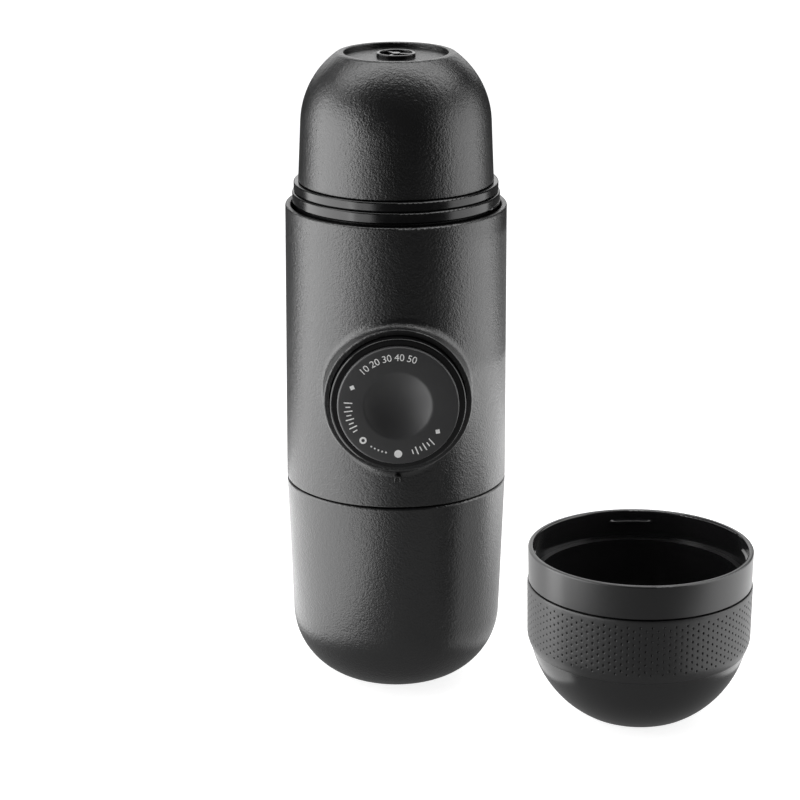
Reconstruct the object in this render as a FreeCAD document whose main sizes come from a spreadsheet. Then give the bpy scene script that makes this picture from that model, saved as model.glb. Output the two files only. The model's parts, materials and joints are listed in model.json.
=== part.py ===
import FreeCAD, Part
import Sketcher
import math
import os

# Handheld manual espresso maker that stands on its water tank, with its cup beside it.
# Millimetres, +Z up. The origin is the centre of the tank's foot, on the table.
# The pump knob looks along -Y.

DOC = FreeCAD.newDocument("EspressoMaker")

SIZES = {
    # Outer shell
    "seam_height": 56.0,
    "seam_gap": 0.4,
    "shell_length": 75.0,
    "seam_radius": 29.35,
    "lip_radius": 29.05,
    "shell_wall": 1.5,
    "edge_round": 0.5,
    "seam_round": 0.3,
    "hole_spare": 0.5,
    "seat_gap": 0.1,
    # Water tank
    "tank_wall": 2.0,
    "tank_side_radius": 27.95,
    "tank_side_height": 17.9,
    "tank_corner_radius": 19.2,
    "tank_heel_radius": 16.4,
    "tank_heel_height": 1.1,
    "tank_heel_round": 12.4,
    "foot_radius": 11.4,
    "tank_ledge_depth": 8.5,
    "tank_ledge_width": 2.4,
    "tank_ledge_thick": 1.8,
    # Base plug and what hangs below it
    "seal_thick": 1.5,
    "tank_thread_gap": 0.6,
    "plug_wall": 1.9,
    "deck_rise": 6.5,
    "deck_thick": 2.5,
    "deck_gap": 0.16,
    "pickup_radius": 2.6,
    "pickup_wall": 1.0,
    "pickup_tip": 8.0,
    "strainer_radius": 4.0,
    "strainer_drop": 2.5,
    "strainer_length": 7.0,
    "strainer_floor": 1.2,
    "strainer_slot": 1.0,
    "vent_place": 19.5,
    "vent_stem_radius": 1.9,
    "vent_head_radius": 3.4,
    "vent_head_thick": 1.0,
    "vent_bulb": 0.6,
    "vent_bulb_taper": 0.4,
    "vent_bulb_height": 1.2,
    # Knob and its collar
    "knob_rise": 23.7,
    "collar_reach": 32.0,
    "collar_radius": 19.1,
    "collar_wall": 1.4,
    "collar_flare": 2.4,
    "knob_radius": 17.4,
    "knob_wall": 1.9,
    "knob_front_wall": 2.5,
    "knob_reach": 34.6,
    "knob_face_reach": 36.0,
    "knob_face_radius": 15.6,
    "knob_face_seat": 1.2,
    "knob_skirt_back": 4.0,
    "dimple_radius": 8.8,
    "dimple_depth": 1.8,
    "running_gap": 0.08,
    "fit_gap": 0.05,
    # Pump
    "pump_stroke": 18.0,
    "cylinder_bore": 6.0,
    "cylinder_wall": 2.0,
    "cylinder_spare": 1.0,
    "cylinder_back": 8.0,
    "cylinder_floor": 1.0,
    "barrel_wall": 1.7,
    "barrel_floor": 2.0,
    "barrel_front": 19.0,
    "spigot_radius": 3.0,
    "spigot_length": 3.0,
    "foot_width": 12.0,
    "foot_length": 15.0,
    "piston_length": 6.0,
    "piston_rest": 6.5,
    "rod_radius": 2.5,
    "rod_boss_radius": 4.6,
    "rod_boss_length": 6.0,
    "rod_seat": 2.0,
    "piston_gap": 0.24,
    "piston_land": 1.0,
    "piston_mid_land": 1.2,
    "seal_section": 1.2,
    "seal_slack": 0.05,
    "spring_gap": 0.1,
    "spring_radius": 11.5,
    "spring_wire": 0.7,
    "spring_turns": 8.0,
    # Valve block
    "block_place": 14.0,
    "block_radius": 6.0,
    "block_drop": 6.0,
    "valve_bore": 2.4,
    "channel_radius": 1.2,
    "valve_ball": 1.8,
    "ball_gap": 0.1,
    "seat_lip": 0.1,
    "seat_cone": 1.0,
    "valve_seat_height": 3.0,
    "valve_lift": 1.2,
    "valve_spring_radius": 1.3,
    "valve_spring_wire": 0.2,
    "valve_spring_turns": 4.0,
    "outlet_room": 16.0,
    "riser_radius": 2.3,
    "riser_bore": 1.3,
    "riser_depth": 4.0,
    "riser_entry": 0.5,
    "socket_depth": 6.0,
    "socket_wall": 2.0,
    # Brew chamber
    "chamber_floor_drop": 6.1,
    "chamber_floor_thick": 3.0,
    "chamber_bore": 20.4,
    "neck_radius": 21.9,
    "neck_rise": 12.9,
    "ring_radius": 26.4,
    "ring_wall": 1.6,
    "ring_length": 23.1,
    "ring_rise": 6.1,
    "ring_flange": 26.8,
    "ring_bead": 27.2,
    "ring_groove_drop": 2.7,
    "ring_bead_length": 3.0,
    "ring_slope": 0.5,
    "ring_round": 0.45,
    "ring_web": 2.4,
    "ring_collar": 3.0,
    "screw_radius": 1.5,
    "screw_head_radius": 2.2,
    "screw_head_height": 1.6,
    "screw_circle": 22.3,
    "screw_boss_radius": 2.7,
    "screw_depth": 10.0,
    # Filter and screens
    "basket_radius": 19.9,
    "basket_wall": 0.6,
    "basket_flange": 21.6,
    "basket_flange_thick": 0.8,
    "basket_depth": 17.0,
    "basket_hole": 0.63,
    "screen_thick": 0.6,
    "screen_gap": 0.7,
    "screen_radius": 19.4,
    "hole_radius": 0.9,
    "screen_screw_length": 2.0,
    "screen_screw_head": 0.4,
    "head_seal_thick": 1.2,
    "head_seal_gap": 0.3,
    # Outlet head
    "head_gap": 0.3,
    "head_radius": 25.6,
    "head_shoulder_radius": 24.9,
    "head_side": 15.8,
    "head_arc_radius": 22.9,
    "head_rim_radius": 15.1,
    "head_dome": 17.6,
    "head_rim_round": 2.0,
    "head_wall": 1.2,
    "recess_radius": 13.6,
    "recess_round": 0.3,
    "recess_depth": 1.3,
    "head_thread_gap": 0.35,
    "core_wall": 1.1,
    "core_chamfer": 0.9,
    "core_plate": 2.0,
    "core_rise": 0.6,
    "funnel_radius": 17.5,
    "funnel_drop": 9.4,
    "spout_radius": 2.6,
    "spout_wall": 1.4,
    "nozzle_radius": 5.1,
    "nozzle_wall": 0.9,
    "nozzle_height": 1.1,
    "nozzle_floor": 0.2,
    "nozzle_cone": 0.8,
    "nozzle_round": 0.3,
    "nozzle_stem": 4.0,
    "nozzle_hub": 1.1,
    "nozzle_hub_height": 0.8,
    "nozzle_leg": 0.8,
    "nozzle_leg_height": 0.6,
    # Cup
    "cup_x": 63.4,
    "cup_y": -31.0,
    "cup_height": 46.0,
    "cup_radius": 29.4,
    "cup_wall": 1.4,
    "cup_band_length": 17.5,
    "cup_band_drop": 9.4,
    "cup_groove": 0.5,
    "cup_band_radius": 29.5,
    "cup_band_foot": 28.3,
    "cup_band_hip": 29.3,
    "cup_band_chamfer": 3.3,
    "cup_band_thick": 1.6,
    "cup_hip_radius": 28.2,
    "cup_arc_radius": 28.2,
    "cup_heel_radius": 15.5,
    "cup_heel_height": 1.6,
    "cup_heel_round": 10.8,
    "cup_foot_radius": 10.0,
    "cup_floor": 2.0,
    "cup_floor_rise": 1.2,
    "cup_hip_wall": 3.1,
    "cup_inside_lift": 1.0,
    "cup_rim_taper": 0.2,
    "cup_ledge_depth": 7.8,
    "cup_ledge_width": 1.6,
    "cup_ledge_slope": 2.0,
}

SCREW_ANGLES = (20.0, 65.0, 115.0, 160.0)
BASKET_HOLES = ((4.5, 8), (9.0, 14), (13.5, 20), (17.0, 26))
SCREEN_HOLES = ((6.0, 8), (11.0, 14), (16.0, 20))
STRAINER_SLOTS = 6
NOZZLE_LEGS = 3
# How far a cutting outline runs past the face that it opens
OVERRUN = 1.0


class Size:
    """A length that knows its value and the sheet expression that gives it."""

    def __init__(self, value, text):
        self.value = float(value)
        self.text = text

    def __add__(self, other):
        other = as_size(other)
        return Size(self.value + other.value, "(%s + %s)" % (self.text, other.text))

    def __sub__(self, other):
        other = as_size(other)
        return Size(self.value - other.value, "(%s - %s)" % (self.text, other.text))

    def __radd__(self, other):
        return as_size(other) + self

    def __rsub__(self, other):
        return as_size(other) - self

    def __mul__(self, other):
        other = as_size(other)
        return Size(self.value * other.value, "(%s * %s)" % (self.text, other.text))

    def __truediv__(self, other):
        other = as_size(other)
        return Size(self.value / other.value, "(%s / %s)" % (self.text, other.text))

    def root(self):
        """The square root, for the distances that a ball's seat sets."""
        return Size(math.sqrt(self.value), "sqrt(%s)" % self.text)

    def __neg__(self):
        return Size(-self.value, "(-%s)" % self.text)


def as_size(number):
    """A plain number as a size."""
    return number if isinstance(number, Size) else Size(number, repr(float(number)))


class Sheet:
    """The spreadsheet of driving sizes, read as attributes."""

    def __init__(self, sizes):
        self.cells = DOC.addObject("Spreadsheet::Sheet", "Sizes")
        for row, (name, value) in enumerate(sizes.items(), start=1):
            self.cells.set("A%d" % row, name)
            self.cells.set("B%d" % row, str(value))
            self.cells.setAlias("B%d" % row, name)
            setattr(self, name, Size(value, "Sizes.%s" % name))
        DOC.recompute()


S = Sheet(SIZES)


class Arc:
    """An outline point that is reached along an arc, turning left (1) or right (-1)."""

    def __init__(self, across, along, radius, side):
        self.point = (as_size(across), as_size(along))
        self.radius = as_size(radius)
        self.side = side


def bind(thing, name, size):
    """Tie a property to the sheet."""
    thing.setExpression(name, as_size(size).text)


def plane_of(body, role):
    """One of the body's own origin planes."""
    return [item for item in body.Origin.OriginFeatures if item.Role == role][0]


def new_sketch(body, name, role, lift=None):
    """An empty sketch on an origin plane, lifted off it along its normal if asked."""
    sketch = body.newObject("Sketcher::SketchObject", name)
    sketch.AttachmentSupport = [(plane_of(body, role), "")]
    sketch.MapMode = "FlatFace"
    if lift is not None:
        bind(sketch, "AttachmentOffset.Base.z", lift)
    return sketch


def pin_point(sketch, index, end, point):
    """Fix one end of a sketch edge by its distances from the origin."""
    for kind, size in (("DistanceX", point[0]), ("DistanceY", point[1])):
        mark = sketch.addConstraint(Sketcher.Constraint(kind, -1, 1, index, end, size.value))
        bind(sketch, "Constraints[%d]" % mark, size)


def arc_between(start, end, radius, side):
    """The short arc from start to end, with its centre on the left (1) or right (-1)."""
    run = end - start
    middle = start + run * 0.5
    left = FreeCAD.Vector(-run.y, run.x, 0).normalize()
    reach = math.sqrt(max(radius * radius - run.Length * run.Length / 4, 0))
    centre = middle + left * (reach * side)
    first, last = (start, end) if side > 0 else (end, start)
    turn = [math.atan2(p.y - centre.y, p.x - centre.x) for p in (first, last)]
    circle = Part.Circle(centre, FreeCAD.Vector(0, 0, 1), radius)
    return Part.ArcOfCircle(circle, turn[0], turn[1])


def draw_outline(sketch, outline):
    """A closed outline of lines and arcs, every point and radius tied to the sheet."""
    corners = [item if isinstance(item, Arc) else (as_size(item[0]), as_size(item[1])) for item in outline]
    points = [item.point if isinstance(item, Arc) else item for item in corners]
    places = [FreeCAD.Vector(p[0].value, p[1].value, 0) for p in points]
    ends = []
    for k in range(len(corners)):
        reached = corners[(k + 1) % len(corners)]
        start, end = places[k], places[(k + 1) % len(corners)]
        if isinstance(reached, Arc):
            edge = arc_between(start, end, reached.radius.value, reached.side)
            index = sketch.addGeometry(edge, False)
            ends.append((index, 1, 2) if reached.side > 0 else (index, 2, 1))
        else:
            ends.append((sketch.addGeometry(Part.LineSegment(start, end), False), 1, 2))
    for k, (index, start, end) in enumerate(ends):
        following = ends[(k + 1) % len(ends)]
        sketch.addConstraint(Sketcher.Constraint("Coincident", index, end, following[0], following[1]))
        pin_point(sketch, index, start, points[k])
        reached = corners[(k + 1) % len(corners)]
        if isinstance(reached, Arc):
            mark = sketch.addConstraint(Sketcher.Constraint("Radius", index, reached.radius.value))
            bind(sketch, "Constraints[%d]" % mark, reached.radius)


def draw_circle(sketch, across, along, radius):
    """A circle, its centre and radius tied to the sheet."""
    across, along, radius = as_size(across), as_size(along), as_size(radius)
    centre = FreeCAD.Vector(across.value, along.value, 0)
    circle = Part.Circle(centre, FreeCAD.Vector(0, 0, 1), radius.value)
    index = sketch.addGeometry(circle, False)
    pin_point(sketch, index, 3, (across, along))
    mark = sketch.addConstraint(Sketcher.Constraint("Radius", index, radius.value))
    bind(sketch, "Constraints[%d]" % mark, radius)


def new_body(name):
    """A sub-part: its label is the name of its file."""
    body = DOC.addObject("PartDesign::Body", name)
    body.Label = name
    return body


def lift_body(body, height):
    """Stand the body at a height on the maker's axis."""
    bind(body, "Placement.Base.z", height)


def face_knob(body):
    """Turn the body so that its own Z runs along the knob's axis, out of the shell."""
    body.Placement = FreeCAD.Placement(
        FreeCAD.Vector(0, 0, knob_height.value), FreeCAD.Rotation(FreeCAD.Vector(1, 0, 0), 90)
    )
    lift_body(body, knob_height)


def move_body(body, across, along, height=0.0):
    """Place an upright body by its foot."""
    bind(body, "Placement.Base.x", across)
    bind(body, "Placement.Base.y", along)
    bind(body, "Placement.Base.z", height)


def turn_solid(body, name, outline, kind="PartDesign::Revolution"):
    """Revolve an outline given as (radius, height), as a solid or as a cut."""
    sketch = new_sketch(body, name + "_outline", "XZ_Plane")
    draw_outline(sketch, outline)
    DOC.recompute()
    before = body.Shape.Volume if kind == "PartDesign::Groove" else 0.0
    feature = body.newObject(kind, name)
    feature.Profile = sketch
    feature.ReferenceAxis = (sketch, ["V_Axis"])
    feature.Angle = 360.0
    DOC.recompute()
    if kind == "PartDesign::Groove" and not feature.Shape.Volume < before - 1e-6:
        raise RuntimeError("%s cuts nothing" % name)
    return feature


def turn_cut(body, name, outline):
    """Revolve an outline and take it out of the body."""
    return turn_solid(body, name, outline, "PartDesign::Groove")


def turned_body(name, outline):
    """A sub-part that is one revolved outline."""
    body = new_body(name)
    turn_solid(body, "turned", outline)
    return body


def pad(body, sketch, name, length, reverse=False):
    """Raise a sketch into the body."""
    feature = body.newObject("PartDesign::Pad", name)
    feature.Profile = sketch
    bind(feature, "Length", length)
    feature.Reversed = reverse
    DOC.recompute()
    return feature


def cut(body, sketch, name, length=None, reverse=False):
    """Sink a sketch into the body, both ways through it when no length is given."""
    DOC.recompute()
    before = body.Shape.Volume
    feature = body.newObject("PartDesign::Pocket", name)
    feature.Profile = sketch
    if length is None:
        feature.Type = "ThroughAll"
        feature.SideType = "Symmetric"
    else:
        bind(feature, "Length", length)
        feature.Reversed = reverse
    DOC.recompute()
    if not feature.Shape.Volume < before - 1e-6:
        raise RuntimeError("%s cuts nothing" % name)
    return feature


def around(body, feature, sketch, count):
    """Repeat a feature round the body's own Z axis."""
    pattern = body.newObject("PartDesign::PolarPattern", feature.Name + "_ring")
    pattern.Originals = [feature]
    pattern.Axis = (sketch, ["N_Axis"])
    pattern.Angle = 360.0
    pattern.Occurrences = count
    body.Tip = pattern
    DOC.recompute()
    return pattern


def round_edges(body, name, radius, wanted):
    """Fillet the edges that the test picks by their place."""
    base = body.Tip
    names = ["Edge%d" % (k + 1) for k, edge in enumerate(base.Shape.Edges) if wanted(edge)]
    if not names:
        raise RuntimeError("%s finds no edge" % name)
    fillet = body.newObject("PartDesign::Fillet", name)
    fillet.Base = (base, names)
    bind(fillet, "Radius", radius)
    DOC.recompute()
    return fillet


def hollow(body, name, wall, wanted):
    """Leave a wall inside the outside surface, open at the face that the test picks."""
    base = body.Tip
    names = ["Face%d" % (k + 1) for k, face in enumerate(base.Shape.Faces) if wanted(face)]
    shell = body.newObject("PartDesign::Thickness", name)
    shell.Base = (base, names)
    bind(shell, "Value", wall)
    shell.Reversed = True
    shell.Join = "Intersection"
    DOC.recompute()
    return shell


def drill_ring(body, name, circle, radius, count):
    """Drill a ring of holes along the body's own Z axis."""
    sketch = new_sketch(body, name + "_hole", "XY_Plane")
    draw_circle(sketch, circle, 0.0, radius)
    around(body, cut(body, sketch, name), sketch, count)


def drill_at(body, name, across, along, radius):
    """Drill one hole right through along the body's own Z axis."""
    sketch = new_sketch(body, name + "_hole", "XY_Plane")
    draw_circle(sketch, across, along, radius)
    return cut(body, sketch, name)


def at_height(edge, height, slack=0.01):
    """True when an edge is a level ring at that height in its body."""
    box = edge.BoundBox
    return abs(box.ZMin - height) < slack and abs(box.ZMax - height) < slack


def ring_outline(inner, outer, low, high):
    """A plain ring's outline."""
    return [(inner, low), (outer, low), (outer, high), (inner, high)]


def screw_places():
    """Where the chassis screws stand, as sizes."""
    places = []
    for angle in SCREW_ANGLES:
        turn = math.radians(angle)
        places.append((S.screw_circle * math.cos(turn), S.screw_circle * math.sin(turn)))
    return places


# Places that several sub-parts share
deck_height = S.seam_height + S.deck_rise
knob_height = deck_height + S.knob_rise
lip_height = S.seam_height + S.shell_length
ring_top = lip_height + S.ring_rise
ring_bottom = ring_top - S.ring_length
ring_groove = ring_top - S.ring_groove_drop
chamber_floor = ring_top - S.chamber_floor_drop
neck_top = ring_top + S.neck_rise
head_foot = ring_top + S.head_gap
head_shoulder_height = head_foot + S.head_side
head_top = head_shoulder_height + S.head_dome
cup_band_top = S.cup_height - S.cup_band_drop
cup_band_bottom = cup_band_top - S.cup_band_length
mouth_radius = S.seam_radius - S.tank_wall
ledge_top = S.seam_height - S.tank_ledge_depth
plug_radius = mouth_radius - S.tank_thread_gap
plug_bottom = ledge_top + S.seal_thick
shell_bottom = S.seam_height + S.seam_gap
deck_bottom = deck_height - S.deck_thick
deck_radius = S.seam_radius - S.shell_wall - S.deck_gap
shell_low_bore = S.seam_radius - S.shell_wall
shell_high_bore = S.lip_radius - S.shell_wall
collar_bore = S.collar_radius - S.collar_wall
barrel_bore = S.knob_radius + S.running_gap
barrel_radius = barrel_bore + S.barrel_wall
knob_inside = S.knob_reach - S.knob_front_wall
piston_front = S.piston_length - S.piston_rest
cylinder_front = piston_front + S.pump_stroke + S.cylinder_spare
barrel_half = S.barrel_floor / 2
floor_bottom = chamber_floor - S.chamber_floor_thick
socket_bottom = floor_bottom - S.socket_depth
block_top = socket_bottom - S.block_drop
outlet_seat_height = block_top - S.outlet_room
riser_bottom = block_top - S.riser_depth
riser_top = floor_bottom + S.riser_entry
screen_bottom = chamber_floor + S.screen_gap
basket_bottom = neck_top - S.basket_depth
seal_bottom = neck_top + S.basket_flange_thick
core_bottom = seal_bottom + S.head_seal_thick
recess_floor = head_top - S.recess_depth
funnel_top = recess_floor - S.funnel_drop
seat_edge = S.valve_ball - S.seat_lip
ball_reach = S.valve_ball + S.ball_gap
ball_rise = S.valve_seat_height + (ball_reach * ball_reach - seat_edge * seat_edge).root()
inlet_ball_height = deck_height + ball_rise
outlet_ball_height = outlet_seat_height + ball_rise
inlet_chamber_top = inlet_ball_height + S.valve_ball + S.valve_lift + S.seat_gap


def water_tank():
    """The thin-walled tank with its rounded foot, and the ledge that its seal rests on."""
    body = new_body("water_tank")
    turn_solid(body, "outside", [
        (0.0, 0.0),
        (S.foot_radius, 0.0),
        Arc(S.tank_heel_radius, S.tank_heel_height, S.tank_heel_round, 1),
        Arc(S.tank_side_radius, S.tank_side_height, S.tank_corner_radius, 1),
        (S.seam_radius, S.seam_height),
        (0.0, S.seam_height),
    ])
    hollow(body, "inside", S.tank_wall, lambda face: abs(face.CenterOfMass.z - S.seam_height.value) < 0.01)
    ledge_bottom = ledge_top - S.tank_ledge_thick
    ledge_inner = mouth_radius - S.tank_ledge_width
    ledge_root = mouth_radius + S.tank_wall / 4
    turn_solid(body, "ledge", [
        (ledge_inner, ledge_bottom),
        (ledge_root, ledge_bottom - S.tank_ledge_width),
        (ledge_root, ledge_top),
        (ledge_inner, ledge_top),
    ])
    round_edges(body, "rim_round", S.edge_round, lambda edge: at_height(edge, S.seam_height.value)
                and edge.BoundBox.XMax > mouth_radius.value + S.tank_wall.value / 2)


def tank_seal():
    """The flat ring between the tank's ledge and the base plug."""
    inner = mouth_radius - S.tank_ledge_width
    turned_body("tank_seal", ring_outline(inner, plug_radius, ledge_top, plug_bottom))


def base_plug():
    """The threaded plug that closes the shell's bottom, and the deck of the pump."""
    body = turned_body("base_plug", [
        (plug_radius - S.plug_wall, plug_bottom),
        (plug_radius, plug_bottom),
        (plug_radius, shell_bottom),
        (deck_radius, shell_bottom),
        (deck_radius, deck_height),
        (0.0, deck_height),
        (0.0, deck_bottom),
        (plug_radius - S.plug_wall, deck_bottom),
    ])
    drill_at(body, "pickup_socket", 0.0, S.block_place, S.pickup_radius + S.fit_gap)
    drill_at(body, "vent_hole", 0.0, -S.vent_place, S.vent_stem_radius + S.fit_gap)
    for number, (across, along) in enumerate(screw_places(), start=1):
        drill_at(body, "screw_hole_%d" % number, across, along, S.screw_radius + S.fit_gap)


def air_vent_valve():
    """The mushroom valve that lets air into the tank as the water leaves."""
    bulb = S.vent_stem_radius + S.vent_bulb
    bulb_top = deck_height + S.vent_bulb_height
    body = turned_body("air_vent_valve", [
        (0.0, deck_bottom - S.vent_head_thick),
        (S.vent_head_radius, deck_bottom - S.vent_head_thick),
        (S.vent_head_radius, deck_bottom),
        (S.vent_stem_radius, deck_bottom),
        (S.vent_stem_radius, deck_height),
        (bulb, deck_height),
        (bulb - S.vent_bulb_taper, bulb_top),
        (0.0, bulb_top),
    ])
    move_body(body, 0.0, -S.vent_place)


def pickup_tube():
    """The straight tube that draws water from the bottom of the tank."""
    bore = S.pickup_radius - S.pickup_wall
    body = turned_body("pickup_tube", ring_outline(bore, S.pickup_radius, S.pickup_tip, deck_height))
    move_body(body, 0.0, S.block_place)


def pickup_strainer():
    """The slotted cap on the pickup tube's end."""
    bottom = S.pickup_tip - S.strainer_drop
    bore = S.pickup_radius + S.fit_gap
    body = turned_body("pickup_strainer", [
        (0.0, bottom),
        (S.strainer_radius, bottom),
        (S.strainer_radius, bottom + S.strainer_length),
        (bore, bottom + S.strainer_length),
        (bore, bottom + S.strainer_floor),
        (0.0, bottom + S.strainer_floor),
    ])
    sketch = new_sketch(body, "slot_outline", "XZ_Plane")
    half = S.strainer_slot / 2
    low = bottom + S.strainer_floor + S.seat_gap
    high = S.pickup_tip - S.seat_gap
    draw_outline(sketch, [(-half, low), (half, low), (half, high), (-half, high)])
    slot = cut(body, sketch, "slot", S.strainer_radius + OVERRUN, reverse=True)
    upright = new_sketch(body, "slot_axis", "XY_Plane")
    around(body, slot, upright, STRAINER_SLOTS)
    move_body(body, 0.0, S.block_place)


def body_shell():
    """The middle shell: a slightly tapered tube with the flared collar round the knob."""
    body = new_body("body_shell")
    turn_solid(body, "outside", [
        (0.0, shell_bottom),
        (S.seam_radius, shell_bottom),
        (S.lip_radius, lip_height),
        (0.0, lip_height),
    ])
    collar = new_sketch(body, "collar_outline", "XZ_Plane")
    draw_circle(collar, 0.0, knob_height, S.collar_radius)
    pad(body, collar, "collar", S.collar_reach)
    front, side = S.collar_reach.value - S.edge_round.value, S.collar_radius.value + S.seat_gap.value
    round_edges(body, "collar_flare", S.collar_flare, lambda edge: -front < edge.BoundBox.YMin
                and edge.BoundBox.YMax < 0 and edge.BoundBox.XMax < side
                and edge.BoundBox.ZLength > S.collar_radius.value)
    turn_cut(body, "inside", [
        (0.0, shell_bottom - OVERRUN),
        (shell_low_bore, shell_bottom - OVERRUN),
        (shell_low_bore, shell_bottom),
        (shell_high_bore, lip_height),
        (shell_high_bore, lip_height + OVERRUN),
        (0.0, lip_height + OVERRUN),
    ])
    bore = new_sketch(body, "knob_bore_outline", "XZ_Plane")
    draw_circle(bore, 0.0, knob_height, collar_bore)
    cut(body, bore, "knob_bore", S.collar_reach + OVERRUN, reverse=True)
    round_edges(body, "collar_edge", S.edge_round, lambda edge: edge.BoundBox.YMax < -front
                and edge.BoundBox.XMax > collar_bore.value + S.collar_wall.value / 2)
    round_edges(body, "lip_edge", S.edge_round, lambda edge: at_height(edge, lip_height.value))
    round_edges(body, "seam_edge", S.seam_round, lambda edge: at_height(edge, shell_bottom.value)
                and edge.BoundBox.XMax > shell_low_bore.value + S.shell_wall.value / 2)


def pump_housing():
    """The knob's guide barrel and the pump cylinder in one moulding, on its foot."""
    body = new_body("pump_housing")
    wall = S.cylinder_bore + S.cylinder_wall
    spigot_end = -S.cylinder_back - S.spigot_length
    floor = S.cylinder_floor - S.cylinder_back
    turn_solid(body, "barrel", [
        (S.channel_radius, spigot_end),
        (S.spigot_radius, spigot_end),
        (S.spigot_radius, -S.cylinder_back),
        (wall, -S.cylinder_back),
        (wall, -barrel_half),
        (barrel_radius, -barrel_half),
        (barrel_radius, S.barrel_front),
        (barrel_bore, S.barrel_front),
        (barrel_bore, barrel_half),
        (wall, barrel_half),
        (wall, cylinder_front),
        (S.cylinder_bore, cylinder_front),
        (S.cylinder_bore, floor),
        (S.channel_radius, floor),
    ])
    foot = new_sketch(body, "foot_outline", "XY_Plane", lift=barrel_half)
    half = S.foot_width / 2
    low = deck_height - knob_height
    high = -barrel_bore - S.barrel_wall / 4
    draw_outline(foot, [(-half, low), (half, low), (half, high), (-half, high)])
    pad(body, foot, "foot", S.foot_length)
    face_knob(body)


def valve_block():
    """The upright block with the inlet valve's chamber below and the outlet valve's above."""
    body = turned_body("valve_block", [
        (S.valve_bore, deck_height),
        (S.block_radius, deck_height),
        (S.block_radius, block_top),
        (S.valve_bore, block_top),
        (S.valve_bore, outlet_seat_height),
        (S.channel_radius, outlet_seat_height),
        (S.channel_radius, inlet_chamber_top),
        (S.valve_bore, inlet_chamber_top),
    ])
    reach = S.block_place - S.cylinder_back
    spigot = new_sketch(body, "spigot_socket_outline", "XZ_Plane", lift=reach - S.spigot_length)
    draw_circle(spigot, 0.0, knob_height, S.spigot_radius + S.fit_gap)
    cut(body, spigot, "spigot_socket", S.block_radius, reverse=True)
    port = new_sketch(body, "port_outline", "XZ_Plane")
    draw_circle(port, 0.0, knob_height, S.channel_radius)
    cut(body, port, "port", reach, reverse=True)
    move_body(body, 0.0, S.block_place)


def valve_seat(name, bottom, along):
    """A ring with a conical seat for its ball."""
    body = turned_body(name, [
        (S.channel_radius, bottom),
        (S.valve_bore - S.fit_gap, bottom),
        (S.valve_bore - S.fit_gap, bottom + S.valve_seat_height),
        (seat_edge, bottom + S.valve_seat_height),
        (S.channel_radius, bottom + S.valve_seat_height - S.seat_cone),
    ])
    move_body(body, 0.0, along)


def valve_ball(name, height, along):
    """A ball just clear of its seat."""
    ball = DOC.addObject("Part::Sphere", name)
    ball.Label = name
    bind(ball, "Radius", S.valve_ball)
    move_body(ball, 0.0, along, height)


def outlet_valve_spring():
    """The small coil that keeps the outlet ball on its seat."""
    bottom = outlet_ball_height + S.valve_ball + S.spring_gap
    length = riser_bottom - S.spring_gap - bottom
    body = coil_spring("outlet_valve_spring", S.valve_spring_radius, S.valve_spring_wire, bottom, length,
                       S.valve_spring_turns)
    move_body(body, 0.0, S.block_place)


def coil_spring(name, radius, wire, bottom, length, turns):
    """A round-wire compression spring that stands between two seats."""
    body = new_body(name)
    section = new_sketch(body, "wire_section", "XZ_Plane")
    draw_circle(section, radius, bottom + wire, wire)
    DOC.recompute()
    coil = body.newObject("PartDesign::AdditiveHelix", "coil")
    coil.Profile = section
    coil.ReferenceAxis = (section, ["V_Axis"])
    coil.Mode = "height-turns-angle"
    bind(coil, "Height", length - wire * 2)
    bind(coil, "Turns", turns)
    DOC.recompute()
    return body


def return_spring():
    """The coil that pushes the knob out once it is turned free."""
    bottom = barrel_half + S.spring_gap
    length = knob_inside - S.spring_gap - bottom
    body = coil_spring("return_spring", S.spring_radius, S.spring_wire, bottom, length, S.spring_turns)
    face_knob(body)


def riser_tube():
    """The short tube that carries the water up to the brew chamber."""
    body = turned_body("riser_tube", ring_outline(S.riser_bore, S.riser_radius, riser_bottom, riser_top))
    move_body(body, 0.0, S.block_place)


def riser_seals():
    """Two soft rings round the riser, on the block and under the chamber's socket."""
    inner = S.riser_radius + S.fit_gap
    outer = S.riser_radius + S.seal_section
    body = turned_body("riser_seals", ring_outline(inner, outer, block_top, block_top + S.seal_section))
    turn_solid(body, "upper", ring_outline(inner, outer, socket_bottom - S.seal_section, socket_bottom))
    move_body(body, 0.0, S.block_place)


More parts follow.
